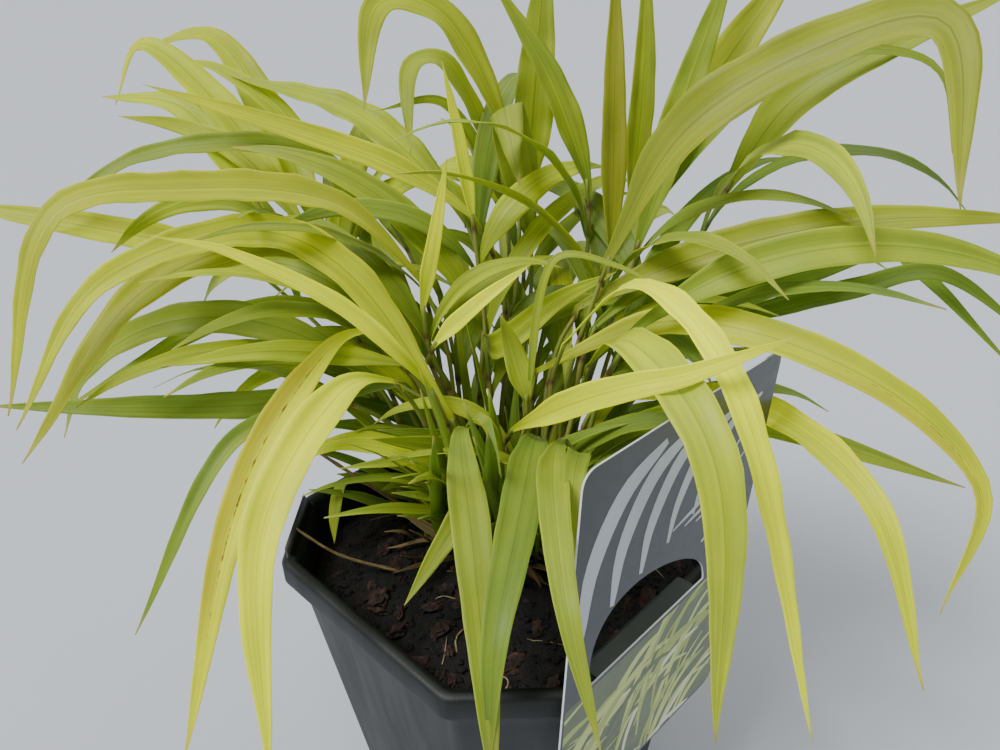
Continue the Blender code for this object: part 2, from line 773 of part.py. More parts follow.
def addBlades(thicket, stem, rule):
    # blades grown from the culm by a rule, to either hand in turn, where there is room
    draw = random.Random(stem["name"] + rule["seed"])
    culm = evenPoints(stem["culm"], culmParts)
    main = stem["blades"][0]["points"]
    ahead = culm[0] - crown if rule["outward"] else main[-1] - culm[0]
    heading = math.atan2(ahead.y, ahead.x)
    hand = draw.choice((-1, 1))
    placed = 0
    for attempt in range(rule["tries"]):
        if placed == rule["wanted"]:
            break
        at = draw.randrange(*rule["places"])
        bearing = heading + hand * math.radians(draw.uniform(*rule["bearing"]))
        length = draw.uniform(*rule["length"]) * mm
        rise = math.radians(draw.uniform(*rule["rise"]))
        fall = math.radians(draw.uniform(*rule["fall"]))
        course = archPoints(culm[at], bearing, length, rise, fall, draw.uniform(-bladeCurl, bladeCurl))
        tilt = Vector((draw.uniform(-0.35, 0.35), draw.uniform(-0.75, 0.1), 1)).normalized()
        blade = {"width": draw.uniform(*rule["width"]) * mm, "points": course, "face": tilt,
                 "ribbed": False, "roll": draw.uniform(-bladeRoll, bladeRoll), "fold": 0.0}
        if not allowedCourse(course, rule):
            continue
        if thicket.meets(*closedLoft(*bladeSections(blade, sideSteps, clearance)), stem["name"], 12):
            continue
        thicket.add(*closedLoft(*bladeSections(blade, sideSteps)), stem["name"])
        stem["blades"].append(blade)
        hand = -hand
        placed += 1
    return placed


def culmObject(stem):
    curve = bpy.data.curves.new(stem["name"], "CURVE")
    curve.dimensions = "3D"
    curve.bevel_depth = 1 * mm
    curve.bevel_resolution = 0
    curve.use_fill_caps = True
    course = stem["culm"]
    spline = curve.splines.new("POLY")
    spline.points.add(len(course) - 1)
    last = len(course) - 1
    for i, point in enumerate(spline.points):
        point.co = (*course[i], 1)
        point.radius = (culmFootRadius + (culmTipRadius - culmFootRadius) * i / last) / curve.bevel_depth
    tube = bpy.data.objects.new("tube", curve)
    partCollection.objects.link(tube)
    mesh = evaluatedMesh(tube)
    bpy.data.objects.remove(tube)
    shape = bmesh.new()
    shape.from_mesh(mesh)
    bmesh.ops.remove_doubles(shape, verts=shape.verts, dist=0.01 * mm)
    bmesh.ops.triangulate(shape, faces=shape.faces)
    bmesh.ops.recalc_face_normals(shape, faces=shape.faces)
    shape.to_mesh(mesh)
    shape.free()
    obj = bpy.data.objects.new("stem_" + stem["name"], mesh)
    partCollection.objects.link(obj)
    return obj


def buildStem(stem, material):
    obj = culmObject(stem)
    blades = []
    for blade in stem["blades"]:
        steps = mainSteps if blade["ribbed"] else sideSteps
        points, faces = closedLoft(*bladeSections(blade, steps))
        blades.append(meshObject("blade", points, faces))
    booleanWithAll(obj, blades, "UNION")
    obj.data.materials.clear()
    obj.data.materials.append(material)
    return obj


def main():
    clearScene()
    plastic = makeMaterial("pot_plastic", (0.055, 0.062, 0.063), 0.55)
    earth = makeMaterial("potting_soil", (0.020, 0.015, 0.011), 0.95)
    card = makeMaterial("label_card", (0.105, 0.120, 0.130), 0.30)
    leaf = makeMaterial("grass_leaf", (0.42, 0.50, 0.07), 0.42)
    specs = dict(stemBlades)
    specs.update(backStemSpecs())
    feet = spreadFeet(specs)
    pot = buildPot(plastic)
    label = buildLabel(card)
    thicket = Thicket()
    thicket.addObject(pot)
    thicket.addObject(label)
    soil = buildSoil(earth, [feet[name] for name in specs])
    thicket.addObject(soil)
    stems = [placeStem(thicket, name, feet[name], specs[name]) for name in specs]
    stems = [stem for stem in stems if stem]
    sides = sum(addBlades(thicket, stem, sideRule) for stem in stems)
    lows = sum(addBlades(thicket, stem, crownRule) for stem in stems)
    for stem in stems:
        buildStem(stem, leaf)
    print(len(stems), "stems,", sides, "side blades and", lows, "crown blades")


main()
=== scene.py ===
# Golden Hakone grass in its square nursery pot: leaves, culms, soil, pot and label,
# finished for a studio picture.

import math
import random

import bmesh
import bpy
from mathutils import Matrix, Vector, noise
from mathutils.bvhtree import BVHTree


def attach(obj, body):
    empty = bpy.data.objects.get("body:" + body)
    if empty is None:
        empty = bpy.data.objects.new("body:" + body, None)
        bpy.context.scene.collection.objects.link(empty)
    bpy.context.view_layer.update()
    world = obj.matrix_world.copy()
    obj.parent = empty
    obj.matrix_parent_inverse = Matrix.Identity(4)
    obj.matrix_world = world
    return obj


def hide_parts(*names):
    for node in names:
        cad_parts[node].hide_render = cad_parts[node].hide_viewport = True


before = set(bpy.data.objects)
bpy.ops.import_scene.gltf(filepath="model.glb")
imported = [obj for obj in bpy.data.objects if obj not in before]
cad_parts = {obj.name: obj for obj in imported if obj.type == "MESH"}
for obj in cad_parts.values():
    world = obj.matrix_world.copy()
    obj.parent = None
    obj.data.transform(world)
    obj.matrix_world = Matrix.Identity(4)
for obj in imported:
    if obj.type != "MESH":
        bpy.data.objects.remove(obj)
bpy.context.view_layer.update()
mm = 0.001
fullTurn = 6.28  # the range of random turns, in radians
noWear = (0, 0, 0, 0)  # a blade with no dried stretch


def linear(hexColour):
    # sRGB hex to linear values
    parts = [int(hexColour[i:i + 2], 16) / 255 for i in (1, 3, 5)]
    return tuple(c / 12.92 if c <= 0.04045 else ((c + 0.055) / 1.055) ** 2.4 for c in parts)


def newMaterial(name):
    material = bpy.data.materials.new(name)
    material.use_nodes = True
    tree = material.node_tree
    return material, tree, tree.nodes["Principled BSDF"]


def feed(tree, node, links):
    # links: socket name or number to a node, a (node, output) pair or a plain value
    for socket, source in links.items():
        if isinstance(source, bpy.types.Node):
            source = (source, 0)
        if isinstance(source, tuple) and isinstance(source[0], bpy.types.Node):
            tree.links.new(source[0].outputs[source[1]], node.inputs[socket])
        else:
            node.inputs[socket].default_value = source


def addNode(tree, kind, links=None, **settings):
    node = tree.nodes.new(kind)
    for key, value in settings.items():
        setattr(node, key, value)
    feed(tree, node, links or {})
    return node


def worked(tree, operation, *values):
    return addNode(tree, "ShaderNodeMath", dict(enumerate(values)), operation=operation)


def mapped(tree, value, low, high, start, end):
    return addNode(tree, "ShaderNodeMapRange", {0: value, 1: low, 2: high, 3: start, 4: end})


def noiseOf(tree, at, scale, detail):
    return addNode(tree, "ShaderNodeTexNoise", {0: at, 2: scale, 3: detail})


def drawnNoise(tree, at, stretch, detail):
    # noise squeezed by a number along each axis
    place = addNode(tree, "ShaderNodeVectorMath", {0: at, 1: stretch}, operation="MULTIPLY")
    return noiseOf(tree, place, 1.0, detail)


def ramped(tree, value, stops):
    # stops: places with a hex colour or a grey
    node = addNode(tree, "ShaderNodeValToRGB", {0: value})
    ramp = node.color_ramp
    while len(ramp.elements) < len(stops):
        ramp.elements.new(0.5)
    for element, (place, colour) in zip(ramp.elements, stops):
        element.position = place
        element.color = (*linear(colour), 1) if isinstance(colour, str) else (colour, colour, colour, 1)
    return node


def mixed(tree, share, first, second):
    # the colour comes out of output 2
    if isinstance(second, str):
        second = (*linear(second), 1)
    return addNode(tree, "ShaderNodeMix", {0: share, 6: first, 7: second}, data_type="RGBA")


def scaled(tree, colour, amount):
    return addNode(tree, "ShaderNodeVectorMath", {0: colour, 3: amount}, operation="SCALE")


def bumped(tree, height, strength, distance):
    return addNode(tree, "ShaderNodeBump", {"Strength": strength, "Distance": distance, "Height": height})


def inMetres(points):
    return [Vector(p) * mm for p in points]


def lengthOf(course):
    return sum((b - a).length for a, b in zip(course, course[1:]))


def cornersOf(corners):
    # each corner with the one before it and the one after it
    return zip(corners[-1:] + corners[:-1], corners, corners[1:] + corners[:1])


def linkObject(name, data):
    made = bpy.data.objects.new(name, data)
    bpy.context.scene.collection.objects.link(made)
    return made


def meshOf(name, shape):
    mesh = bpy.data.meshes.new(name)
    shape.to_mesh(mesh)
    shape.free()
    return mesh


def bakedMesh(piece):
    graph = bpy.context.evaluated_depsgraph_get()
    return bpy.data.meshes.new_from_object(piece.evaluated_get(graph))


def paint(verts, index):
    for face in {f for v in verts for f in v.link_faces}:
        face.material_index = index


def cutAway(shape, point, out, near):
    # removes what lies beyond a plane
    bmesh.ops.bisect_plane(shape, geom=shape.verts[:] + shape.edges[:] + shape.faces[:], dist=near,
                           plane_co=point, plane_no=out, clear_outer=True)


def thicken(shape, thickness):
    bmesh.ops.recalc_face_normals(shape, faces=shape.faces)
    bmesh.ops.solidify(shape, geom=shape.faces[:], thickness=thickness)


def addPiece(name, shape, materials, smooth=True):
    mesh = meshOf(name, shape)
    for material in materials:
        mesh.materials.append(material)
    if smooth:
        mesh.shade_smooth()
    piece = linkObject(name, mesh)
    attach(piece, "root")
    return piece


def growRing(shape, ring):
    # a new ring of vertices, joined to this one by faces and in the same order
    edges = [shape.edges.get(pair) for pair in zip(ring, ring[1:] + ring[:1])]
    grown = bmesh.ops.extrude_edge_only(shape, edges=edges)["geom"]
    fresh = {v for v in grown if isinstance(v, bmesh.types.BMVert)}
    return [next(e.other_vert(v) for e in v.link_edges if e.other_vert(v) in fresh) for v in ring]


def tubeAlong(shape, points, radii, rounds):
    # a circle drawn along a course, capped at both ends; gives back its rings
    made = bmesh.ops.create_circle(shape, cap_ends=True, segments=rounds, radius=1)
    flat = [v.co.copy() for v in made["verts"]]
    rings = [made["verts"]]
    for _ in points[1:]:
        rings.append(growRing(shape, rings[-1]))
    tangents = tangentsOf(points)
    across = tangents[0].cross(Vector((0.3, 1, 0.1))).normalized()
    for ring, point, radius, tangent in zip(rings, points, radii, tangents):
        across = (across - tangent * across.dot(tangent)).normalized()
        other = tangent.cross(across)
        for vert, spot in zip(ring, flat):
            vert.co = point + (across * spot.x + other * spot.y) * radius
    bmesh.ops.contextual_create(shape, geom=rings[-1])
    return rings


# leafy stems: the same courses, rules and seeds as the solids

leafSettings = {
    "crown": Vector((0, 20, 0)) * mm,
    "crownRadius": 37 * mm,
    "footSpacing": 8.0 * mm,
    "footDepth": 9 * mm,
    "soilEdgeZ": 121 * mm,
    "soilCrownZ": 126 * mm,
    "soilReach": 75 * mm,
    "culmFootRadius": 1.25 * mm,
    "culmTipRadius": 0.95 * mm,
    "culmSteps": 6,
    "culmParts": 30,
    "face": Vector((0, -0.75, 0.66)),
    "stemTries": 400,
    "sameCourse": 0.35 * mm,
    "spanParts": 16,
    "footTurns": 300,
    "mainSteps": 9,
    "sideSteps": 5,
    "bendStep": 0.07 * mm,
    "bladeCurl": 0.5,
    "bladeRoll": 0.3,
    "backStems": 11,
    "backBearings": (-8, 172),
    "backReach": (38, 62),
    "backHeight": (180, 225),
    "backLength": (120, 175),
    "backRise": (30, 55),
    "backFall": (-75, -35),
    "backWidth": (10, 15),
    "fineSteps": 40,
    "across": (-1, -0.74, -0.44, -0.14, 0, 0.14, 0.44, 0.74, 1),  # section points, closer at the midrib
    "thick": 0.28 * mm,
    "leastHalf": 0.12 * mm,
    "ripple": (0.05, 0.15),
    "wave": (18, 42),  # in mm
    "extraFold": (0.06, 0.16),
    "twist": 0.3,
    "pleatLength": 26 * mm,
    "edgeLength": 9 * mm,
    "noiseRoom": 40,
    "plainTint": (0.5, 0.0),
    "lowerRipe": (0.05, 0.25),
    "ripeSpread": 0.05,
    "shade": (0.88, 1.08),
    "culmRings": 30,
    "jointSpacing": (24, 34),  # in mm
    "jointLength": 1.3 * mm,
    "rounds": 8,
}

# rules for the blades grown without a given course: angles in degrees, places along the culm's 30 parts
sideRule = {
    "seed": " sides", "wanted": 3, "tries": 40, "places": (10, 27),
    "outward": False, "bearing": (35, 125), "length": (70, 150), "rise": (55, 78), "fall": (-60, 0),
    "width": (8, 14), "ripe": (0.0, 0.36),
}
crownRule = {
    "seed": " crown", "wanted": 1, "tries": 40, "places": (5, 15),
    "outward": True, "bearing": (0, 75), "length": (32, 78), "rise": (35, 75), "fall": (-45, 20),
    "width": (5, 8.5), "ripe": (-0.12, 0.14),
}

# (width, points) of the main blades, root first, in mm
stemBlades = {
    "front_left_inner": [(14, [(-40, 10, 200), (-55, -15, 210), (-75, -60, 185), (-70, -105, 130)]),
        (5, [(-25, 5, 170), (-60, -10, 175)])],
    "front_left_outer": [(12, [(-50, 35, 210), (-65, 20, 210), (-90, -30, 180), (-105, -85, 115)])],
    "left_low_drop": [(7, [(-60, 20, 185), (-100, -5, 185), (-130, -50, 135)]),
        (8, [(-20, 12, 172), (-47, 3, 183)])],
    "centre_bright": [(6.5, [(-25, 25, 210), (-5, 20, 230), (15, 20, 245)]),
        (9, [(-20, 10, 170), (-50, 0, 180)])],
    "front_middle_light": [(13, [(-10, 5, 180), (-15, -8, 187), (-10, -55, 172), (-6, -96, 153),
         (-5, -104, 121)]),
        (3, [(-5, -5, 190), (0, -25, 175)])],
    "front_middle_dark": [(14, [(15, 15, 170), (12, -5, 180), (5, -50, 180), (-3, -86, 165),
         (-5, -98, 133)])],
    "front_middle_right": [(10, [(22, 0, 178), (18, -20, 185), (15, -55, 193), (16, -90, 184),
         (24, -106, 150)]),
        (8, [(26, -30, 192), (24, -65, 203), (20, -97, 172)])],
    "front_short_left": [(10, [(5, 5, 165), (-10, -15, 165), (-35, -50, 145)]), (6, [(20, -10, 175)])],
    "right_level_bright": [(10, [(5, 5, 180), (19, -18, 202), (30, -37, 218), (41, -49, 228),
         (55, -51, 232), (86, -48, 242)])],
    "right_low_green": [(12, [(30, 5, 160), (55, 8, 180), (105, 18, 172), (165, -25, 170)])],
    "right_heavy_drop": [(15, [(35, 20, 200), (44, -20, 228), (60, -72, 212), (65, -88, 120)])],
    "right_bright_drop": [(10, [(25, 20, 210), (50, 5, 238), (72, -48, 220), (95, -88, 120)])],
    "right_brown_tip": [(13, [(15, 25, 195), (65, 15, 220), (120, -20, 215), (155, -45, 185),
         (140, -65, 150)])],
    "right_arch_low": [(12, [(40, 20, 185), (95, 18, 182), (120, -38, 177), (130, -75, 130)])],
    "right_level_olive": [(15, [(35, 45, 215), (85, 35, 240), (135, 20, 255), (185, 0, 260)])],
    "right_dark_green": [(18, [(60, 45, 205), (105, 40, 225), (150, 40, 235)])],
    "right_arch_green": [(9, [(85, 50, 200), (140, 40, 220), (170, 30, 230), (200, 10, 210)])],
    "right_bent_olive": [(9, [(65, 65, 210), (150, 55, 235), (170, 40, 225), (200, 15, 195)])],
    "upper_right_big": [(20, [(45, 45, 235), (70, 40, 285), (115, 30, 315), (145, 15, 320),
         (145, -15, 270)])],
    "upper_right_second": [(17, [(100, 80, 255), (120, 75, 290), (150, 70, 310), (195, 65, 330)])],
    "upper_right_orange": [(19, [(70, 80, 260), (90, 85, 295), (125, 90, 345)]),
        (6, [(95, 72, 285), (125, 70, 303), (152, 71, 305), (172, 68, 296), (178, 58, 268)])],
    "upright_orange": [(11, [(50, 75, 225), (50, 85, 280), (50, 100, 345)])],
    "upright_pale": [(14, [(60, 65, 235), (75, 75, 285), (95, 85, 345)])],
    "upright_green": [(11, [(60, 90, 245), (65, 105, 295), (65, 115, 345)])],
    "upright_left_lean": [(12, [(40, 90, 255), (25, 95, 295), (0, 100, 335)])],
    "upright_broad": [(18, [(15, 110, 245), (20, 120, 300), (25, 130, 350)])],
    "upright_folded": [(18, [(15, 90, 235), (5, 95, 285), (10, 60, 260)])],
    "top_arch_left": [(15, [(5, 100, 275), (-20, 105, 320), (-45, 95, 325), (-50, 65, 290)])],
    "top_arch_small": [(11, [(0, 110, 260), (-20, 115, 300), (-35, 110, 300), (-35, 80, 270)]),
        (6, [(-20, 105, 285), (-50, 95, 285)])],
    "upright_needle": [(6, [(-10, 75, 245), (-15, 80, 280), (-20, 85, 305)]),
        (11, [(0, 40, 200), (25, 50, 215), (50, 55, 225)])],
    "upright_point": [(6, [(-30, 35, 220), (-25, 45, 245), (-20, 55, 270)])],
    "back_left_high": [(18, [(-80, 100, 230), (-100, 130, 265), (-135, 165, 310), (-175, 165, 305)])],
    "back_left_second": [(16, [(-90, 95, 240), (-120, 120, 280), (-160, 140, 310), (-175, 130, 285)])],
    "back_left_third": [(13, [(-110, 100, 250), (-140, 120, 285), (-180, 130, 290)])],
    "back_left_fourth": [(12, [(-88, 91, 240), (-112, 106, 265), (-139, 113, 277), (-166, 111, 283)])],
    "back_left_fifth": [(10, [(-78, 114, 255), (-101, 127, 283), (-127, 136, 299), (-148, 138, 303)])],
    "left_bright_streak": [(11, [(-10, 75, 245), (-45, 85, 265), (-100, 90, 285), (-145, 90, 300)])],
    "left_high_green": [(15, [(-15, 85, 245), (-60, 115, 280), (-120, 135, 295)])],
    "left_thin_arch": [(10, [(-50, 90, 245), (-85, 95, 270), (-150, 90, 270), (-195, 70, 245)])],
    "left_big_level": [(14, [(-30, 40, 230), (-60, 45, 260), (-110, 35, 270), (-155, 20, 265),
         (-170, -15, 205)])],
    "left_edge": [(14, [(-115, 85, 225), (-165, 80, 240), (-235, 80, 255)])],
    "left_big_arch": [(14, [(-20, 15, 180), (-55, 30, 235), (-90, 30, 255), (-140, 5, 245),
         (-165, -25, 205)])],
    "left_broad_olive": [(16, [(-40, 40, 210), (-75, 40, 245), (-130, 20, 235), (-165, -25, 190)])],
    "left_low_level": [(11, [(-40, 25, 190), (-95, 10, 190), (-145, 0, 195), (-195, -5, 200)]),
        (6, [(-20, 5, 150), (-45, -5, 160)])],
    "left_low_arch": [(9, [(-55, 55, 210), (-105, 45, 215), (-170, 15, 190)])],
    "left_bright_tip": [(6, [(-25, -2, 203), (-35, -8, 221), (-55, -6, 240), (-89, -2, 257),
         (-113, -2, 263)])],
    "left_level": [(9, [(-40, 25, 200), (-85, 20, 210), (-125, 10, 210)])],
    "centre_short": [(10, [(10, 15, 190), (5, 20, 205), (0, 25, 220)]),
        (3.5, [(20, 25, 240), (45, 20, 240), (65, 10, 230)])],
}

# how yellow (0 green to 1 gold), then how orange; the upright blades are set yellower than their own colour,
# a painted glow for the light that comes through them from behind
stemTints = {
    "front_left_inner": (1.0, 0), "front_left_outer": (0.93, 0.1), "front_middle_light": (0.46, 0),
    "front_middle_dark": (0.28, 0), "front_middle_right": (0.5, 0), "front_short_left": (0.5, 0),
    "right_level_bright": (1.0, 0), "right_low_green": (0.5, 0), "right_heavy_drop": (0.6, 0.04),
    "right_bright_drop": (1.0, 0), "right_brown_tip": (0.74, 0.14), "right_arch_low": (0.88, 0.04),
    "right_level_olive": (0.56, 0.14), "right_dark_green": (0.2, 0), "right_arch_green": (0.3, 0),
    "right_bent_olive": (0.3, 0), "upper_right_big": (0.54, 0.16), "upper_right_second": (0.44, 0.08),
    "upper_right_orange": (0.55, 0.15), "upright_orange": (0.55, 0.22), "upright_green": (0.5, 0.05),
    "upright_pale": (0.5, 0), "upright_left_lean": (0.58, 0), "upright_broad": (0.56, 0.05),
    "upright_folded": (0.46, 0.05), "top_arch_left": (0.7, 0.08), "top_arch_small": (0.64, 0),
    "upright_needle": (0.85, 0), "upright_point": (0.85, 0), "back_left_high": (0.74, 0.08),
    "back_left_second": (0.78, 0.06), "back_left_third": (0.72, 0), "left_bright_streak": (0.85, 0.1),
    "left_high_green": (0.64, 0), "left_thin_arch": (0.5, 0), "left_big_level": (0.74, 0.18),
    "left_edge": (0.7, 0.1), "left_big_arch": (0.75, 0.12), "left_broad_olive": (0.64, 0.2),
    "left_low_arch": (0.5, 0), "left_bright_tip": (1.0, 0), "back_left_fourth": (0.7, 0.08),
    "back_left_fifth": (0.72, 0.05), "left_level": (0.66, 0), "left_low_level": (0.4, 0),
    "left_low_drop": (0.4, 0), "centre_bright": (1.0, 0), "centre_short": (0.6, 0),
}

# painted highlight and shade: blades that lie in bright light are painted brighter, and blades in shade
# darker, than their age alone makes them
paintedStemLight = {
    "right_bright_drop": 1.3, "right_level_bright": 1.06, "front_left_outer": 1.16, "front_left_inner": 1.06,
    "right_brown_tip": 1.12, "right_arch_low": 1.12, "right_heavy_drop": 1.1, "centre_bright": 1.15,
    "upright_needle": 1.1, "left_bright_streak": 1.08, "left_bright_tip": 1.15, "left_broad_olive": 1.06,
    "front_middle_right": 0.9, "front_middle_light": 0.96, "front_middle_dark": 0.94,
}

# dried stretches: from and to along the blade, where across it, and how strong
stemWear = {
    "front_left_outer": (0.14, 0.82, 0.52, 1.0),
    "right_brown_tip": (0.5, 0.95, 0.6, 0.6),
    "left_edge": (0.3, 0.7, 0.5, 0.25),
    "upright_orange": (0.2, 0.9, 0.3, 0.25),
}


def soilHeight(place):
    s = leafSettings
    reach = min(1, Vector((place.x, place.y, 0)).length / s["soilReach"])
    return s["soilCrownZ"] + (s["soilEdgeZ"] - s["soilCrownZ"]) * reach * reach


def evenPoints(dense, steps):
    # the same course in steps of equal length
    run = [0.0]
    for a, b in zip(dense, dense[1:]):
        run.append(run[-1] + (b - a).length)
    course = []
    i = 0
    for k in range(steps + 1):
        goal = run[-1] * k / steps
        while i < len(run) - 2 and run[i + 1] < goal:
            i += 1
        share = (goal - run[i]) / max(run[i + 1] - run[i], 1e-9)
        course.append(dense[i].lerp(dense[i + 1], min(1, share)))
    return course


def smoothCourse(points, steps):
    # a smooth curve through the points, in even steps
    knots = [0.0]
    for a, b in zip(points, points[1:]):
        knots.append(knots[-1] + math.sqrt((b - a).length))
    last = len(points) - 1
    slopes = []
    for i in range(last + 1):
        low = max(i - 1, 0)
        high = min(i + 1, last)
        slopes.append((points[high] - points[low]) / (knots[high] - knots[low]))
    dense = []
    parts = leafSettings["spanParts"]
    for i in range(last):
        span = knots[i + 1] - knots[i]
        for k in range(parts):
            t = k / parts
            start = points[i] * (1 + 2 * t) * (1 - t) ** 2 + slopes[i] * span * t * (1 - t) ** 2
            end = points[i + 1] * t * t * (3 - 2 * t) + slopes[i + 1] * span * t * t * (t - 1)
            dense.append(start + end)
    dense.append(points[last])
    return evenPoints(dense, steps)


def tangentsOf(course):
    last = len(course) - 1
    return [(course[min(i + 1, last)] - course[max(i - 1, 0)]).normalized() for i in range(last + 1)]


def sidesOf(course, tangents, face, roll):
    # the direction across the blade at each step, carried along without twisting
    middle = len(course) // 2
    side = (course[-1] - course[0]).cross(face)
    side = (side - tangents[middle] * side.dot(tangents[middle])).normalized()
    if side.cross(tangents[middle]).dot(face) < 0:
        side = -side
    side = Matrix.Rotation(roll, 3, tangents[middle]) @ side
    sides = [None] * len(course)
    for order in (range(middle, len(course)), range(middle, -1, -1)):
        carried = side
        for i in order:
            carried = (carried - tangents[i] * carried.dot(tangents[i])).normalized()
            sides[i] = carried
    return sides


def widthAt(t):
    # share of the full width: narrow at the root, widest at 35% of the length, then a long taper
    if t < 0.35:
        rise = t / 0.35
        return 0.18 + 0.82 * rise * rise * (3 - 2 * rise)
    return 1 - ((t - 0.35) / 0.65) ** 1.9


def culmCourse(foot, blade, bow):
    # from the foot in the compost straight up, then into the blade's own direction
    tip = blade[0]
    ahead = (blade[1] - blade[0]).normalized()
    start = Vector((foot.x, foot.y, soilHeight(foot) + 2 * mm))
    rise = (tip - start).length
    leave = Vector((0, 0, 1)) * rise * 0.45
    arrive = (ahead + Vector((0, 0, 0.8))).normalized() * rise * 0.35
    points = [Vector((foot.x, foot.y, soilHeight(foot) - leafSettings["footDepth"])), start]
    for k in range(1, 25):
        t = k / 24
        a = start * (1 - t) ** 3 + (start + leave) * 3 * t * (1 - t) ** 2
        b = (tip - arrive) * 3 * t * t * (1 - t) + tip * t ** 3
        points.append(a + b + bow * math.sin(math.pi * t) ** 2)
    return points[:2] + evenPoints(points[1:], leafSettings["culmSteps"] - 1)[1:]


def drawOffset(draw, size):
    # a random shift: mostly in depth, less to the side and up
    depth = draw.uniform(-1, 1) * size
    aside = draw.uniform(-0.3, 0.3) * size
    return Vector((aside, -0.9 * depth, 0.43 * depth + draw.uniform(-0.25, 0.25) * size))


def bendPoints(points, offset):
    # shifts a blade's points: the root stays, the tip moves by the whole offset
    bent = []
    for i, point in enumerate(points):
        share = min(1, i / max(1, len(points) - 1) + 0.35) if i else 0
        bent.append(point + offset * share)
    return bent


def sideBlade(culm, width, points, draw):
    # a given blade that springs from the nearest place on the culm
    parts = leafSettings["culmParts"]
    culm = evenPoints(culm, parts)
    at = min(range(parts // 3, parts - 3), key=lambda i: (culm[i] - points[0]).length)
    start = culm[at]
    if (points[0] - start).length < 4 * mm and len(points) > 1:
        points = points[1:]
    low = culm[at - 2]
    return {"width": width, "points": [low, start] + points, "face": leafSettings["face"],
            "roll": draw.uniform(-0.15, 0.15), "fold": 0.12}


def tryStem(foot, specs, draw, size):
    # one attempt at a stem, bent by as much as size: its culm and its given blades
    root = Vector(specs[0][1][0]) * mm + drawOffset(draw, size * 0.4)
    main = bendPoints([root] + inMetres(specs[0][1][1:]), drawOffset(draw, size))
    bow = Vector((draw.uniform(-1, 1), draw.uniform(-1, 1), 0)) * size
    culm = culmCourse(foot, main, bow)
    low = evenPoints(culm, leafSettings["culmParts"])[-3]
    blades = [{"width": specs[0][0] * mm, "points": [low] + main, "face": leafSettings["face"],
               "roll": draw.uniform(-0.12, 0.12), "fold": 0.14}]
    for width, points in specs[1:]:
        course = bendPoints(inMetres(points), drawOffset(draw, size * 0.6))
        blades.append(sideBlade(culm, width * mm, course, draw))
    return culm, blades


def archPoints(start, bearing, length, rise, fall, curl, count=7):
    # a course that leaves at the angle rise and ends at the angle fall
    points = [start]
    for k in range(count):
        t = (k + 0.5) / count
        lift = rise + (fall - rise) * t ** 1.1
        way = bearing + curl * t
        step = Vector((math.cos(way) * math.cos(lift), math.sin(way) * math.cos(lift), math.sin(lift)))
        points.append(points[-1] + step * length / count)
    return points


def backStemSpecs():
    s = leafSettings
    draw = random.Random("far side")
    specs = {}
    for i in range(s["backStems"]):
        low, high = s["backBearings"]
        bearing = math.radians(low + (high - low) * i / (s["backStems"] - 1) + draw.uniform(-5, 5))
        reach = draw.uniform(*s["backReach"]) * mm
        height = draw.uniform(*s["backHeight"]) * mm
        root = s["crown"] + Vector((math.cos(bearing) * reach, math.sin(bearing) * reach, height))
        length = draw.uniform(*s["backLength"]) * mm
        rise = math.radians(draw.uniform(*s["backRise"]))
        fall = math.radians(draw.uniform(*s["backFall"]))
        course = archPoints(root, bearing, length, rise, fall, draw.uniform(-0.3, 0.3), 5)
        width = draw.uniform(*s["backWidth"])
        specs["back_%02d" % (i + 1)] = [(width, [p / mm for p in course])]
    return specs


def footGoal(specs):
    crown = leafSettings["crown"]
    root = Vector(specs[0][1][0]) * mm
    tip = Vector(specs[0][1][-1]) * mm
    lean = (root - crown) * 0.42 + (tip - root) * 0.07
    goal = Vector((lean.x, lean.y, 0))
    if goal.length > leafSettings["crownRadius"]:
        goal = goal.normalized() * leafSettings["crownRadius"]
    return crown + goal


def spreadFeet(specs):
    # pushes the stems' feet apart until each has its room
    spacing = leafSettings["footSpacing"]
    feet = [footGoal(blades) for blades in specs.values()]
    for turn in range(leafSettings["footTurns"]):
        for i in range(len(feet)):
            for j in range(i):
                apart = feet[i] - feet[j]
                if apart.length < 1e-6:
                    apart = Vector((1e-4, 1e-4 * (i - j), 0))
                if apart.length < spacing:
                    push = apart.normalized() * (spacing - apart.length) * 0.25
                    feet[i] = feet[i] + push
                    feet[j] = feet[j] - push
    return dict(zip(specs, feet))


def solidTree(names):
    # one search tree of the solids with these names
    points = []
    faces = []
    for name in names:
        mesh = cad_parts[name].data
        mesh.calc_loop_triangles()
        first = len(points)
        points += [v.co.copy() for v in mesh.vertices]
        faces += [tuple(first + i for i in t.vertices) for t in mesh.loop_triangles]
    return BVHTree.FromPolygons(points, faces)


def farthestFrom(tree, points):
    # how far the worst of the points lies from the solid
    return max(tree.find_nearest(point)[3] for point in points)


def touches(tree, points, clearance):
    return any(tree.find_nearest(point, clearance)[0] is not None for point in points)


def coarseMiddle(blade, steps):
    # the solid's own section points, without those at the root and the tip
    return smoothCourse(blade["points"], steps)[2:-1]


def findStem(name, foot, specs, tree):
    # the attempt that lies closest to the solid is the one that it was made from
    s = leafSettings
    draw = random.Random(name)
    closest = s["sameCourse"]
    found = None
    for attempt in range(s["stemTries"]):
        culm, blades = tryStem(foot, specs, draw, s["bendStep"] * attempt)
        away = farthestFrom(tree, coarseMiddle(blades[0], s["mainSteps"]))
        if away < closest:
            closest = away
            found = {"name": name, "culm": culm, "blades": blades}
    if not found:
        print("no course found for", name)
    return found


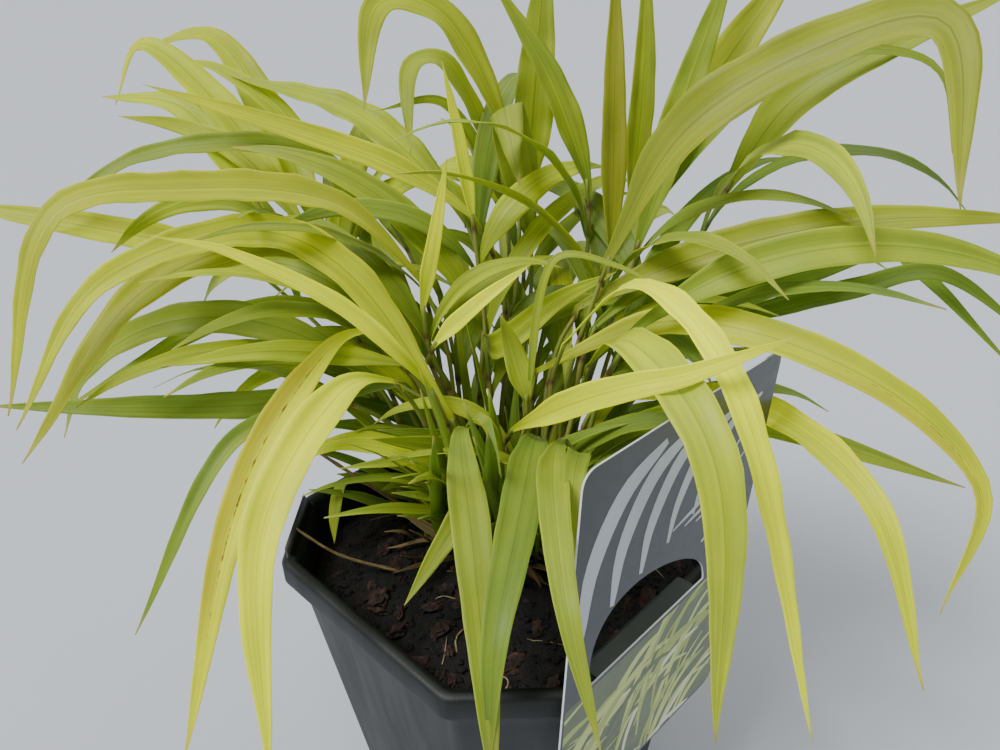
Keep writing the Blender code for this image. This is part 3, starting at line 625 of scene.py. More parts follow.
def addBlades(stem, tree, rule):
    # blades grown from the culm by a rule: those that the solid has
    s = leafSettings
    draw = random.Random(stem["name"] + rule["seed"])
    culm = evenPoints(stem["culm"], s["culmParts"])
    main = stem["blades"][0]["points"]
    ahead = culm[0] - s["crown"] if rule["outward"] else main[-1] - culm[0]
    heading = math.atan2(ahead.y, ahead.x)
    hand = draw.choice((-1, 1))
    placed = 0
    for attempt in range(rule["tries"]):
        if placed == rule["wanted"]:
            break
        at = draw.randrange(*rule["places"])
        bearing = heading + hand * math.radians(draw.uniform(*rule["bearing"]))
        length = draw.uniform(*rule["length"]) * mm
        rise = math.radians(draw.uniform(*rule["rise"]))
        fall = math.radians(draw.uniform(*rule["fall"]))
        curl = draw.uniform(-s["bladeCurl"], s["bladeCurl"])
        course = archPoints(culm[at], bearing, length, rise, fall, curl)
        tilt = Vector((draw.uniform(-0.35, 0.35), draw.uniform(-0.75, 0.1), 1)).normalized()
        blade = {"width": draw.uniform(*rule["width"]) * mm, "points": course, "face": tilt,
                 "ripe": rule["ripe"], "roll": draw.uniform(-s["bladeRoll"], s["bladeRoll"]), "fold": 0.0}
        if farthestFrom(tree, coarseMiddle(blade, s["sideSteps"])) > s["sameCourse"]:
            continue
        stem["blades"].append(blade)
        hand = -hand
        placed += 1
    return placed


def shapeBlade(shape, layers, blade, steps, places, tint, wear, draw):
    # a grid laid along the course: folded at the midrib, rippled towards its edges and a little twisted
    s = leafSettings
    last = len(places) - 1
    course = smoothCourse(blade["points"], steps)
    tangents = tangentsOf(course)
    sides = sidesOf(course, tangents, blade["face"], blade["roll"])
    length = lengthOf(course)
    ripple = draw.uniform(*s["ripple"])
    wave = draw.uniform(*s["wave"]) * mm
    phase = draw.uniform(0, fullTurn)
    offset = draw.uniform(0, s["noiseRoom"])
    fold = blade["fold"] + draw.uniform(*s["extraFold"])
    twist = draw.uniform(-s["twist"], s["twist"])
    made = bmesh.ops.create_grid(shape, x_segments=last, y_segments=steps, size=1)
    for vert in made["verts"]:
        a = places[round((vert.co.x + 1) / 2 * last)]
        i = round((vert.co.y + 1) / 2 * steps)
        t = i / steps
        run = t * length
        half = max(blade["width"] * widthAt(min(t, 0.999)) / 2, s["leastHalf"])
        turn = Matrix.Rotation(twist * (t - 0.4), 3, tangents[i])
        side = turn @ sides[i]
        up = side.cross(tangents[i])
        lift = fold * (1.5 - t) * half * (math.sqrt(a * a + 0.004) - 0.06)
        pleat = 0.08 + 0.1 * noise.noise(Vector((run / s["pleatLength"], 3 if a > 0 else 9, offset)))
        lift -= pleat * half * math.sin(math.pi * abs(a))
        swing = math.sin(6.283 * t * length / wave + phase + (1.9 if a > 0 else 0))
        lift += ripple * half * swing * a * a * min(1, 4 * t)
        edge = 1 + 0.05 * noise.noise(Vector((run / s["edgeLength"], a, offset)))
        vert.co = course[i] + side * half * a * edge + up * lift
        vert[layers["tint"]] = (*tint, t)
        vert[layers["place"]] = Vector((a * 0.5 + 0.5, run / (100 * mm), offset))
        vert[layers["wear"]] = wear


def leafLayers(shape):
    layers = shape.verts.layers
    return {"tint": layers.float_color.new("leafTint"), "wear": layers.float_color.new("leafWear"),
            "place": layers.float_vector.new("leafPlace")}


def buildStem(stem, leafMaterial, culmMaterial):
    s = leafSettings
    name = stem["name"]
    shape = bmesh.new()
    layers = leafLayers(shape)
    draw = random.Random(name + " finish")
    for number, blade in enumerate(stem["blades"]):
        ripe, orange = stemTints.get(name, s["plainTint"])
        # light: the main blade's painted highlight or shade, 1 where it has none
        wear, light = noWear, 1
        if number == 0:
            wear, light = stemWear.get(name, noWear), paintedStemLight.get(name, 1)
        else:
            # the lower blades are greener
            ripe = ripe * 0.5 + draw.uniform(*blade.get("ripe", s["lowerRipe"]))
            orange = orange * 0.3
        # riper blades are painted brighter, partly for their own paler colour and partly as a painted glow of
        # light through them
        shade = draw.uniform(*s["shade"]) * (0.94 + 0.2 * ripe) * light
        ripe += draw.uniform(-s["ripeSpread"], s["ripeSpread"])
        steps = s["fineSteps"] // (2 if "ripe" in blade else 1)
        shapeBlade(shape, layers, blade, steps, s["across"], (ripe, shade, orange), wear, draw)
    thicken(shape, s["thick"])
    shapeCulm(shape, layers, stem)
    bmesh.ops.recalc_face_normals(shape, faces=shape.faces)
    piece = addPiece("grass_" + name, shape, [leafMaterial, culmMaterial])
    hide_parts("stem_" + name)


def markTube(layers, rings, ripe, runs, offset):
    # what the materials read: age, then the places around and along, and a seed for the noise
    last = len(rings) - 1
    for i, ring in enumerate(rings):
        for k, vert in enumerate(ring):
            vert[layers["tint"]] = (ripe, 1, 0, i / last)
            vert[layers["place"]] = Vector((k / len(ring), runs[i], offset))


def shapeCulm(shape, layers, stem):
    # a slim tube with a swollen joint every few centimetres
    s = leafSettings
    course = smoothCourse(stem["culm"], s["culmRings"])
    draw = random.Random(stem["name"] + " culm")
    spacing = draw.uniform(*s["jointSpacing"]) * mm
    start = draw.uniform(0, 1) * spacing
    last = len(course) - 1
    length = lengthOf(course)
    radii = []
    for i in range(last + 1):
        near = abs((length * i / last - start + spacing / 2) % spacing - spacing / 2)
        radius = s["culmFootRadius"] + (s["culmTipRadius"] - s["culmFootRadius"]) * i / last
        radii.append(radius * (0.96 + 0.22 * math.exp(-(near / s["jointLength"]) ** 2)))
    rings = tubeAlong(shape, course, radii, s["rounds"])
    runs = [(length * i / last - start) / spacing for i in range(last + 1)]
    markTube(layers, rings, 0.5, runs, draw.uniform(0, s["noiseRoom"]))
    for ring in rings:
        paint(ring, 1)


def leafMaterialOf():
    # living grass blade: thin and waxy, so satin along its veins, and glowing where light comes through
    material, tree, shader = newMaterial("living_grass_blade")
    tint, place, wear = (addNode(tree, "ShaderNodeAttribute", attribute_name=name)
                         for name in ("leafTint", "leafPlace", "leafWear"))
    parts = addNode(tree, "ShaderNodeSeparateColor", {0: tint})
    worn = addNode(tree, "ShaderNodeSeparateColor", {0: wear})
    spot = addNode(tree, "ShaderNodeSeparateXYZ", {0: (place, 1)})
    along = (tint, 3)
    # broad stripes about 1.5 mm wide, fine veins about 0.3 mm wide, and slow patches
    stripe = drawnNoise(tree, (place, 1), (6, 0.8, 1), 1.0)
    vein = drawnNoise(tree, (place, 1), (34, 1.4, 1), 2.0)
    patch = drawnNoise(tree, (place, 1), (1.1, 2.6, 1), 3.0)
    # the base is greener than the middle of the blade
    ripe = worked(tree, "ADD", parts, mapped(tree, along, 0.0, 0.3, -0.16, 0.02))
    ripe = worked(tree, "ADD", ripe, mapped(tree, patch, 0.3, 0.7, -0.09, 0.09))
    colour = ramped(tree, ripe, ((0.0, "#597634"), (0.3, "#7f9a33"), (0.55, "#a5b634"), (0.8, "#c9d91c"),
                                 (1.0, "#f0fa12")))
    orange = mixed(tree, (parts, 2), colour, "#b07f2a")
    shade = worked(tree, "MULTIPLY", mapped(tree, stripe, 0.3, 0.66, 1.1, 1.42),
                   mapped(tree, vein, 0.3, 0.7, 0.94, 1.05))
    # the tint's second channel: the blade's own tone together with its painted highlight or shade
    shade = worked(tree, "MULTIPLY", shade, (parts, 1))
    # midrib: a dark line between two paler ones; the blade's edge is a thin pale line
    off = worked(tree, "ABSOLUTE", worked(tree, "SUBTRACT", spot, 0.5))
    rib = ramped(tree, off, ((0.0, 0.53), (0.014, 0.58), (0.04, 0.77), (0.07, 0.73), (0.12, 0.7),
                             (0.462, 0.7), (0.495, 0.92)))
    shaded = scaled(tree, (orange, 2), worked(tree, "MULTIPLY", shade, rib))
    # the last few millimetres dry to pale straw
    tipped = mixed(tree, mapped(tree, along, 0.93, 1.0, 0.0, 0.6), shaded, "#c9b765")
    # dried stretch: fades in and out along the blade, tan on one side of a ragged brown line
    start = mapped(tree, worked(tree, "SUBTRACT", along, worn), 0.0, 0.1, 0.0, 1.0)
    end = mapped(tree, worked(tree, "SUBTRACT", (worn, 1), along), 0.0, 0.1, 0.0, 1.0)
    stretch = worked(tree, "MULTIPLY", worked(tree, "MULTIPLY", start, end), (wear, 3))
    aside = worked(tree, "SUBTRACT", spot, (worn, 2))
    beside = mapped(tree, aside, -0.03, 0.07, 0.0, 0.55)
    tan = mixed(tree, worked(tree, "MULTIPLY", stretch, beside), (tipped, 2), "#ab8c38")
    ragged = mapped(tree, drawnNoise(tree, (place, 1), (4, 34, 1), 3.0), 0.38, 0.74, 0.0, 0.055)
    close = worked(tree, "SUBTRACT", ragged, worked(tree, "ABSOLUTE", aside))
    close = mapped(tree, close, 0.0, 0.02, 0.0, 0.85)
    dried = ramped(tree, vein, ((0.35, "#4a3518"), (0.55, "#6e5526"), (0.7, "#8f7434")))
    whole = mixed(tree, worked(tree, "MULTIPLY", stretch, close), (tan, 2), dried)
    height = worked(tree, "MULTIPLY_ADD", stripe, 0.7, vein)
    feed(tree, shader, {
        "Base Color": (whole, 2), "Normal": bumped(tree, height, 0.5, 0.00018),
        "Roughness": mapped(tree, patch, 0.3, 0.7, 0.4, 0.54), "IOR": 1.42, "Specular IOR Level": 0.3,
        "Subsurface Weight": 0.25, "Subsurface Radius": (0.8, 1.0, 0.1), "Subsurface Scale": 1.5 * mm})
    return material


def culmMaterialOf():
    # grass culm in its papery sheaths: straw to olive, browner at each joint
    material, tree, shader = newMaterial("sheathed_grass_culm")
    place = addNode(tree, "ShaderNodeAttribute", attribute_name="leafPlace")
    spot = addNode(tree, "ShaderNodeSeparateXYZ", {0: (place, 1)})
    colour = ramped(tree, worked(tree, "FRACT", (spot, 1)), (
        (0.0, "#665228"), (0.04, "#7c6d32"), (0.1, "#848f36"), (0.6, "#90a03c"), (0.93, "#a09a4c"),
        (1.0, "#665228")))
    grain = drawnNoise(tree, (place, 1), (14, 1.5, 1), 3.0)
    shaded = scaled(tree, colour, mapped(tree, grain, 0.3, 0.7, 0.7, 1.15))
    feed(tree, shader, {"Base Color": shaded, "Normal": bumped(tree, grain, 0.4, 0.0001), "Roughness": 0.55})
    return material


# lengths and widths in mm, angles in degrees
thatchSettings = {
    "kinds": {
        "young_shoots": {"count": 64, "reach": 0.85, "length": (34, 104), "width": (3.5, 8.5),
                         "rise": (62, 88), "fall": (10, 75), "ripe": (0.15, 0.55)},
        "dry_husks": {"count": 70, "reach": 1, "length": (14, 46), "width": (2.2, 4.6),
                      "rise": (20, 80), "fall": (-25, 50), "ripe": (0, 0.5)},
    },
    "spread": 40 * mm,
    "across": (-1, 0, 1),
    "thick": 0.2 * mm,
    "clearAbove": 150 * mm,
    "clearance": 2.4 * mm,
    "cardClearance": 6 * mm,
    "oldCulmRings": 20,
}

# radius and points of the bare old culms, in mm
oldCulms = [
    (0.95, [(-14, 6, 126), (-45, 12, 143), (-78, 24, 161)]),
    (0.75, [(-42, -12, 126), (-66, -8, 132), (-84, -3, 142.5)]),
    (0.85, [(-16, 12, 126), (-38, 22, 146), (-64, 40, 170)]),
    (0.7, [(12, -6, 126), (30, -16, 130), (52, -22, 129)]),
]

# width and points of small stray leaves low at the front, in mm
strayLeaves = [
    (6, [(-60, 17, 151), (-66, 14, 150), (-69, 7, 141), (-69.5, 0, 131)]),
    (4.5, [(-14, 2, 183), (-9, 0, 190), (-4, -4, 187), (-1, -5, 172), (0, -7, 156)]),
]


def dryHuskOf():
    # last year's sheaths: papery, fibrous and dull, straw to brown
    material, tree, shader = newMaterial("papery_dry_sheath")
    tint, place = (addNode(tree, "ShaderNodeAttribute", attribute_name=name)
                   for name in ("leafTint", "leafPlace"))
    parts = addNode(tree, "ShaderNodeSeparateColor", {0: tint})
    grain = drawnNoise(tree, (place, 1), (12, 2.0, 1), 4.0)
    colour = ramped(tree, worked(tree, "ADD", grain, parts), (
        (0.35, "#3c2f1c"), (0.6, "#6a5632"), (0.85, "#97824f"), (1.0, "#b7a574")))
    feed(tree, shader, {"Base Color": colour, "Normal": bumped(tree, grain, 0.6, 0.0002), "Roughness": 0.72})
    return material


def buildOldCulms(material):
    # last year's bare culms, which lean out over the compost to the rim
    t = thatchSettings
    shape = bmesh.new()
    layers = leafLayers(shape)
    last = t["oldCulmRings"]
    for number, (radius, points) in enumerate(oldCulms):
        course = smoothCourse(inMetres(points), last)
        # swollen at every seventh ring, as at a joint
        radii = [radius * mm * (1 - 0.3 * i / last) * (1.25 if i % 7 == 3 else 1) for i in range(last + 1)]
        rings = tubeAlong(shape, course, radii, leafSettings["rounds"])
        markTube(layers, rings, 0.16, [i / last * 6 for i in range(last + 1)], number * 7)
    bmesh.ops.recalc_face_normals(shape, faces=shape.faces)
    addPiece("old_culms", shape, [material])


def buildStrayLeaves(material):
    t = thatchSettings
    shape = bmesh.new()
    layers = leafLayers(shape)
    draw = random.Random("stray")
    for width, points in strayLeaves:
        blade = {"width": width * mm, "points": inMetres(points), "face": Vector((0, -0.6, 0.8)),
                 "roll": 0.3, "fold": 0.4}
        shapeBlade(shape, layers, blade, 14, t["across"], (0.5, 1.05, 0), noWear, draw)
    thicken(shape, t["thick"])
    addPiece("stray_leaves", shape, [material])


def buildThatch(leafMaterial):
    # young shoots and old husks that fill the crown between the culms, clear of the leaves and the label
    leaves = solidTree([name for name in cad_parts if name.startswith("stem_")])
    card = solidTree([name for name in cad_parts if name.startswith("plant_label")])
    husk = dryHuskOf()
    buildOldCulms(husk)
    buildStrayLeaves(leafMaterial)
    t = thatchSettings
    draw = random.Random("thatch")
    for name, kind in t["kinds"].items():
        young = name == "young_shoots"
        shape = bmesh.new()
        layers = leafLayers(shape)
        made = 0
        while made < kind["count"]:
            bearing = draw.uniform(0, 6.283)
            reach = t["spread"] * math.sqrt(draw.random()) * kind["reach"]
            foot = leafSettings["crown"] + Vector((math.cos(bearing) * reach, math.sin(bearing) * reach, 0))
            foot.z = soilHeight(foot) - 2 * mm
            rise = math.radians(draw.uniform(*kind["rise"]))
            fall = math.radians(draw.uniform(*kind["fall"]))
            way = bearing + draw.uniform(-0.9, 0.9)
            length = draw.uniform(*kind["length"]) * mm
            points = archPoints(foot, way, length, rise, fall, draw.uniform(-0.5, 0.5), 6)
            lowest = soilHeight(foot) + 0.6 * mm
            points = [points[0]] + [Vector((p.x, p.y, max(p.z, lowest))) for p in points[1:]]
            course = smoothCourse(points, 12)
            upper = [p for p in course if p.z > t["clearAbove"]]
            if touches(leaves, upper, t["clearance"]) or touches(card, course, t["cardClearance"]):
                continue
            made += 1
            face = Vector((math.cos(way) * -0.6, math.sin(way) * -0.6, 0.8))
            blade = {"width": draw.uniform(*kind["width"]) * mm, "points": points, "face": face,
                     "roll": draw.uniform(-0.8, 0.8), "fold": draw.uniform(0.2, 0.7)}
            ripe = draw.uniform(*kind["ripe"])
            shade = draw.uniform(0.8, 1.05) if young else 1
            shapeBlade(shape, layers, blade, 10, t["across"], (ripe, shade, 0), noWear, draw)
        thicken(shape, t["thick"])
        addPiece(name, shape, [leafMaterial if young else husk])
    print("crown: young shoots and dry husks")


def buildGrass():
    leafMaterial = leafMaterialOf()
    culmMaterial = culmMaterialOf()
    specs = dict(stemBlades)
    specs.update(backStemSpecs())
    feet = spreadFeet(specs)
    stems = 0
    sides = 0
    for name in specs:
        node = "stem_" + name
        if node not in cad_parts:
            continue
        tree = solidTree([node])
        stem = findStem(name, feet[name], specs[name], tree)
        if stem:
            sides += addBlades(stem, tree, sideRule) + addBlades(stem, tree, crownRule)
            buildStem(stem, leafMaterial, culmMaterial)
            stems += 1
    buildThatch(leafMaterial)
    print("grass:", stems, "stems and", sides, "blades grown by rule")


# the nursery pot

potSettings = {
    "turn": math.radians(45),
    "height": 140 * mm,
    "rimHalf": 75 * mm,
    "cut": 28 * mm,
    "radius": 7 * mm,
    "step": 4 * mm,
    "drop": 9 * mm,
    "thick": 1.4 * mm,
    "taper": 0.125,
    "wallLevels": (0, 0.8, 20, 45, 70, 95, 118),  # in mm
    "arcSteps": 6,
    "drainRadius": 4.5 * mm,
    "drainReach": 36 * mm,
}


def potOutline(half, cut, z):
    # square with cut corners, each corner turned by a true arc
    p = potSettings
    corners = []
    for quarter in range(4):
        around = Matrix.Rotation(p["turn"] + quarter * math.pi / 2, 3, "Z")
        corners.append(around @ Vector((half, -half + cut, 0)))
        corners.append(around @ Vector((half, half - cut, 0)))
    eighth = math.pi / 4
    halfTurn = math.radians(22.5)
    points = []
    for before, corner, after in cornersOf(corners):
        back = (before - corner).normalized()
        ahead = (after - corner).normalized()
        reach = p["radius"] * math.tan(halfTurn)
        centre = corner + (back + ahead).normalized() * p["radius"] / math.cos(halfTurn)
        start = corner + back * reach - centre
        end = corner + ahead * reach - centre
        for k in range(p["arcSteps"] + 1):
            t = k / p["arcSteps"]
            spoke = (start * math.sin((1 - t) * eighth) + end * math.sin(t * eighth)) / math.sin(eighth)
            points.append(Vector((centre.x + spoke.x, centre.y + spoke.y, z)))
    return points


def wallHalf(z):
    p = potSettings
    return p["rimHalf"] - p["step"] - p["taper"] * (p["height"] - z)


def wallOutline(z):
    p = potSettings
    half = wallHalf(z)
    return potOutline(half, p["cut"] * half / p["rimHalf"], z)


def potMaterialOf():
    # moulded nursery polypropylene: dark grey, satin, with fine moulding grain, dust and scuffs
    material, tree, shader = newMaterial("moulded_grey_polypropylene")
    at = (addNode(tree, "ShaderNodeTexCoord"), "Object")
    cloud = noiseOf(tree, at, 18.0, 4.0)
    grain = noiseOf(tree, at, 900.0, 2.0)
    scuff = drawnNoise(tree, at, (120, 120, 9), 5.0)
    colour = ramped(tree, cloud, ((0.3, "#111412"), (0.7, "#1a1d1b")))
    dusty = mixed(tree, mapped(tree, scuff, 0.6, 0.85, 0.0, 0.25), colour, "#454945")
    height = worked(tree, "ADD", grain, cloud)
    feed(tree, shader, {
        "Base Color": (dusty, 2), "Roughness": mapped(tree, scuff, 0.3, 0.7, 0.42, 0.58),
        "Normal": bumped(tree, height, 0.25, 0.0002), "IOR": 1.49})
    return material


def bakeModifiers(piece):
    mesh = bakedMesh(piece)
    piece.modifiers.clear()
    piece.data = mesh


def drillBase(piece):
    # four drain holes through the base
    p = potSettings
    reach = p["drainReach"]
    shape = bmesh.new()
    for i in range(4):
        bearing = p["turn"] + i * math.pi / 2
        place = Matrix.Translation((math.cos(bearing) * reach, math.sin(bearing) * reach, 0))
        bmesh.ops.create_cone(shape, cap_ends=True, segments=32, radius1=p["drainRadius"],
                              radius2=p["drainRadius"], depth=8 * mm, matrix=place)
    drill = linkObject("drill", meshOf("drill", shape))
    cut = piece.modifiers.new("drains", "BOOLEAN")
    cut.operation = "DIFFERENCE"
    cut.object = drill
    bakeModifiers(piece)
    bpy.data.objects.remove(drill)
    piece.data.shade_smooth()


def buildPot():
    p = potSettings
    under = p["height"] - p["thick"]
    half = p["rimHalf"] - p["thick"]
    lip = wallHalf(p["height"])
    rings = [wallOutline(z * mm) for z in p["wallLevels"]]
    rings.append(wallOutline(under - 1.2 * mm))
    # the rim: out from the wall, over its edge and down the band
    for out, cut, z in ((lip + 0.4 * mm, p["cut"] - 1.5 * mm, under - 0.4 * mm),
                        (lip + 1.0 * mm, p["cut"] - 1.4 * mm, under),
                        (half - 0.9 * mm, p["cut"], under),
                        (half - 0.3 * mm, p["cut"], under - 0.25 * mm),
                        (half, p["cut"], under - 0.8 * mm),
                        (half, p["cut"], p["height"] - p["drop"] + 0.6 * mm),
                        (half, p["cut"], p["height"] - p["drop"])):
        rings.append(potOutline(out, cut, z))
    shape = bmesh.new()
    count = len(rings[0])
    made = bmesh.ops.create_circle(shape, cap_ends=True, segments=count, radius=1)
    ring = sorted(made["verts"], key=lambda v: math.atan2(v.co.y, v.co.x) % (2 * math.pi))
    start = min(range(count), key=lambda i: math.atan2(rings[0][i].y, rings[0][i].x) % (2 * math.pi))
    for number, level in enumerate(rings):
        if number:
            ring = growRing(shape, ring)
        for i, vert in enumerate(ring):
            vert.co = level[(start + i) % count]
    bmesh.ops.recalc_face_normals(shape, faces=shape.faces)
    base = min(shape.faces, key=lambda f: f.calc_center_median().z)
    if base.normal.z > 0:
        bmesh.ops.reverse_faces(shape, faces=shape.faces)
    piece = addPiece("nursery_pot", shape, [potMaterialOf()])
    wall = piece.modifiers.new("wall", "SOLIDIFY")
    wall.thickness = p["thick"]
    wall.offset = -1
    wall.use_even_offset = True
    bakeModifiers(piece)
    drillBase(piece)
    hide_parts("pot")
    print("pot: wall and rim")


# the compost

soilSettings = {
    "cells": 110,
    "gap": 0.3 * mm,
    "footZ": 2 * mm,
    "edgeInset": 1.5 * mm,
    "relief": 2.6 * mm,
    "crumbs": 1200,
    "chips": 110,
    "roots": 40,
    # sizes of the loose bits, in mm
    "crumbSize": (0.6, 2.6),
    "chipSize": (2.0, 6.5),
    "rootLength": (8, 26),
    "rootRadius": (0.18, 0.42),
    # one pale root curls up beside the front corner: its points in mm
    "cornerRoot": ((-24, -66, 121.6), (-20, -69, 122.6), (-15, -71.5, 123.4), (-9, -72.5, 124.2),
                   (-3, -72, 125.6), (0, -69, 127), (-1, -65.5, 126.4), (-5, -64.5, 125),
                   (-8, -66, 123.8)),
    "cornerRadius": 0.42 * mm,
}


def soilMaterialOf():
    # moist peat compost: near black, fibrous and matt
    material, tree, shader = newMaterial("moist_peat_compost")
    at = (addNode(tree, "ShaderNodeTexCoord"), "Object")
    coarse = noiseOf(tree, at, 260.0, 6.0)
    both = worked(tree, "ADD", coarse, noiseOf(tree, at, 1300.0, 4.0))
    colour = ramped(tree, coarse, ((0.3, "#070605"), (0.5, "#0e0b09"), (0.64, "#1a130f"), (0.8, "#2b2019")))
    feed(tree, shader, {"Base Color": colour, "Normal": bumped(tree, both, 0.9, 0.0012), "Roughness": 0.82})
    return material


def barkMaterialOf():
    # composted conifer bark: red-brown flakes with a paler torn face
    material, tree, shader = newMaterial("composted_bark")
    grain = noiseOf(tree, (addNode(tree, "ShaderNodeTexCoord"), "Object"), 420.0, 5.0)
    colour = ramped(tree, grain, ((0.3, "#150c09"), (0.55, "#301c14"), (0.75, "#563425")))
    feed(tree, shader, {"Base Color": colour, "Normal": bumped(tree, grain, 0.7, 0.0006), "Roughness": 0.78})
    return material


def rootMaterialOf():
    # dry fine roots and bits of straw: pale and matt
    material, tree, shader = newMaterial("dry_root_and_straw")
    grain = noiseOf(tree, (addNode(tree, "ShaderNodeTexCoord"), "Object"), 300.0, 3.0)
    colour = ramped(tree, grain, ((0.3, "#6b5a3c"), (0.7, "#b7a57a")))
    feed(tree, shader, {"Base Color": colour, "Roughness": 0.7})
    return material


def soilSurface(x, y):
    # dome, hollows and lumps of the compost
    place = Vector((x, y, 0))
    lumps = noise.fractal(place / (11 * mm), 1.0, 2.0, 5) * soilSettings["relief"]
    fine = noise.noise(place / (2.6 * mm)) * 0.5 * mm
    return soilHeight(place) + lumps * 0.8 + fine - 0.4 * mm


def insideSoil(x, y, margin):
    p = potSettings
    half = wallHalf(leafSettings["soilEdgeZ"]) - p["thick"] - soilSettings["edgeInset"] - margin
    cut = p["cut"] * half / p["rimHalf"]
    turned = Matrix.Rotation(-p["turn"], 2) @ Vector((x, y))
    a = abs(turned.x)
    b = abs(turned.y)
    return a < half and b < half and a + b < 2 * half - cut


def buildSoil():
    p = potSettings
    s = soilSettings
    half = wallHalf(leafSettings["soilEdgeZ"]) - p["thick"] - s["gap"]
    cut = p["cut"] * half / p["rimHalf"]
    shape = bmesh.new()
    bmesh.ops.create_grid(shape, x_segments=s["cells"], y_segments=s["cells"], size=half * 1.36)
    for k in range(8):
        angle = p["turn"] + k * math.pi / 4
        way = Vector((math.cos(angle), math.sin(angle), 0))
        reach = half if k % 2 == 0 else (2 * half - cut) / math.sqrt(2)
        cutAway(shape, way * reach, way, 1e-6)
    for vert in shape.verts:
        vert.co.z = soilSurface(vert.co.x, vert.co.y)
    rim = [e for e in shape.edges if e.is_boundary]
    grown = bmesh.ops.extrude_edge_only(shape, edges=rim)["geom"]
    foot = wallHalf(s["footZ"]) - p["thick"] - s["gap"]
    for vert in grown:
        if isinstance(vert, bmesh.types.BMVert):
            vert.co = Vector((vert.co.x * foot / half, vert.co.y * foot / half, s["footZ"]))
    bmesh.ops.contextual_create(shape, geom=[e for e in shape.edges if e.is_boundary])
    bmesh.ops.recalc_face_normals(shape, faces=shape.faces)
    soil = addPiece("potting_compost", shape, [soilMaterialOf()])
    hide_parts("soil")
    scatterCrumbs()
    scatterRoots()
    print("soil: surface, crumbs, chips and roots")


def scatterCrumbs():
    s = soilSettings
    draw = random.Random("crumbs")
    shape = bmesh.new()
    placed = 0
    while placed < s["crumbs"] + s["chips"]:
        x = draw.uniform(-80, 80) * mm
        y = draw.uniform(-80, 80) * mm
        chip = placed >= s["crumbs"]
        size = draw.uniform(*(s["chipSize"] if chip else s["crumbSize"])) * mm
        if not insideSoil(x, y, size):
            continue
        made = bmesh.ops.create_icosphere(shape, subdivisions=3 if chip else 1, radius=1)
        turn = Matrix.Rotation(draw.uniform(0, fullTurn), 3, "Z")
        turn = turn @ Matrix.Rotation(draw.uniform(-0.7, 0.7), 3, "X")
        if chip:
            flat = (1, draw.uniform(0.35, 0.75), draw.uniform(0.2, 0.4))
        else:
            flat = (1, draw.uniform(0.6, 1), 0.7)
        seed = Vector((draw.uniform(0, 50), 0, 0))
        centre = Vector((x, y, soilSurface(x, y) + size * 0.1))
        for vert in made["verts"]:
            rough = 0.75 + 0.5 * noise.noise(vert.co * 1.7 + seed)
            if chip:
                # torn edges and flaking layers
                rough += 0.3 * noise.noise(vert.co * 4.5 + seed) + 0.12 * noise.noise(vert.co * 11 + seed)
            local = Vector([a * b for a, b in zip(vert.co, flat)]) * size * rough
            vert.co = centre + turn @ local
        paint(made["verts"], 1 if chip else 0)
        placed += 1
    addPiece("compost_crumbs", shape, [bpy.data.materials["moist_peat_compost"], barkMaterialOf()],
             smooth=False)


def scatterRoots():
    s = soilSettings
    draw = random.Random("roots")
    shape = bmesh.new()
    placed = 0
    while placed < s["roots"]:
        x = draw.uniform(-70, 70) * mm
        y = draw.uniform(-75, 60) * mm
        if not insideSoil(x, y, 14 * mm):
            continue
        way = draw.uniform(0, fullTurn)
        reach = draw.uniform(*s["rootLength"]) * mm
        curl = draw.uniform(-1.4, 1.4)
        points = []
        for k in range(8):
            t = k / 7
            angle = way + curl * t
            px = x + math.cos(angle) * reach * (t - 0.5)
            py = y + math.sin(angle) * reach * (t - 0.5)
            if not insideSoil(px, py, 1 * mm):
                break
            z = soilSurface(px, py) + 0.8 * mm * math.sin(math.pi * t) + 0.1 * mm
            points.append(Vector((px, py, z)))
        if len(points) < 5:
            continue
        radius = draw.uniform(*s["rootRadius"]) * mm
        tubeAlong(shape, points, [radius * (1 - 0.7 * (i / 7) ** 2) for i in range(len(points))], 5)
        placed += 1
    curl = smoothCourse(inMetres(s["cornerRoot"]), 28)
    tubeAlong(shape, curl, [s["cornerRadius"] * (1 - 0.5 * i / 28) for i in range(29)], 6)
    bmesh.ops.recalc_face_normals(shape, faces=shape.faces)
    addPiece("fine_roots", shape, [rootMaterialOf()])


# the plant label, in mm

labelSettings = {
    "corners": ((-62, 90), (33, 86), (74, 214), (-40, 218)),  # x along the rim and z up from the base, in mm
    "cornerRadius": 6,
    "thick": 0.7,
    "lean": math.radians(4),
    "gap": 0.3,
    "slotMiddle": -8,
    "slotHalf": 33,
    "slotRise": 24,
    "tongueHalf": 28,
    "tongueTaper": 7,
    "tongueFoot": 127,
    "tongueThick": 0.6,
    "strokeSteps": 14,
    "bands": 52,
    "inks": (("ink_pale_grey", ("#c3cad0", "#d0d6db"), 30.0), ("ink_leaf_pale", ("#cad676", "#d8e284"), 60.0),
             ("ink_leaf_mid", ("#a6b650", "#b5c35e"), 60.0), ("ink_leaf_deep", ("#56663a", "#647446"), 60.0),
             ("ink_leaf_white", ("#e6ebbc", "#eff2cc"), 60.0), ("ink_field", ("#56633f", "#6b7850"), 40.0)),
}


def labelPlace():
    # from label millimetres, x along the rim and y up from it, to the part's metres
    p = labelSettings
    front = potSettings["rimHalf"] + (p["gap"] + p["thick"]) * mm
    stand = Matrix.Translation((0, -front, potSettings["height"]))
    lean = Matrix.Rotation(math.pi / 2 - p["lean"], 4, "X")
    return Matrix.Rotation(potSettings["turn"], 4, "Z") @ stand @ lean @ Matrix.Scale(mm, 4)


def roundedOutline(corners, radius, steps):
    points = []
    for before, corner, after in cornersOf(corners):
        start = corner + (before - corner).normalized() * radius
        end = corner + (after - corner).normalized() * radius
        for k in range(steps + 1):
            t = k / steps
            points.append(start * (1 - t) ** 2 + corner * 2 * t * (1 - t) + end * t * t)
    return points


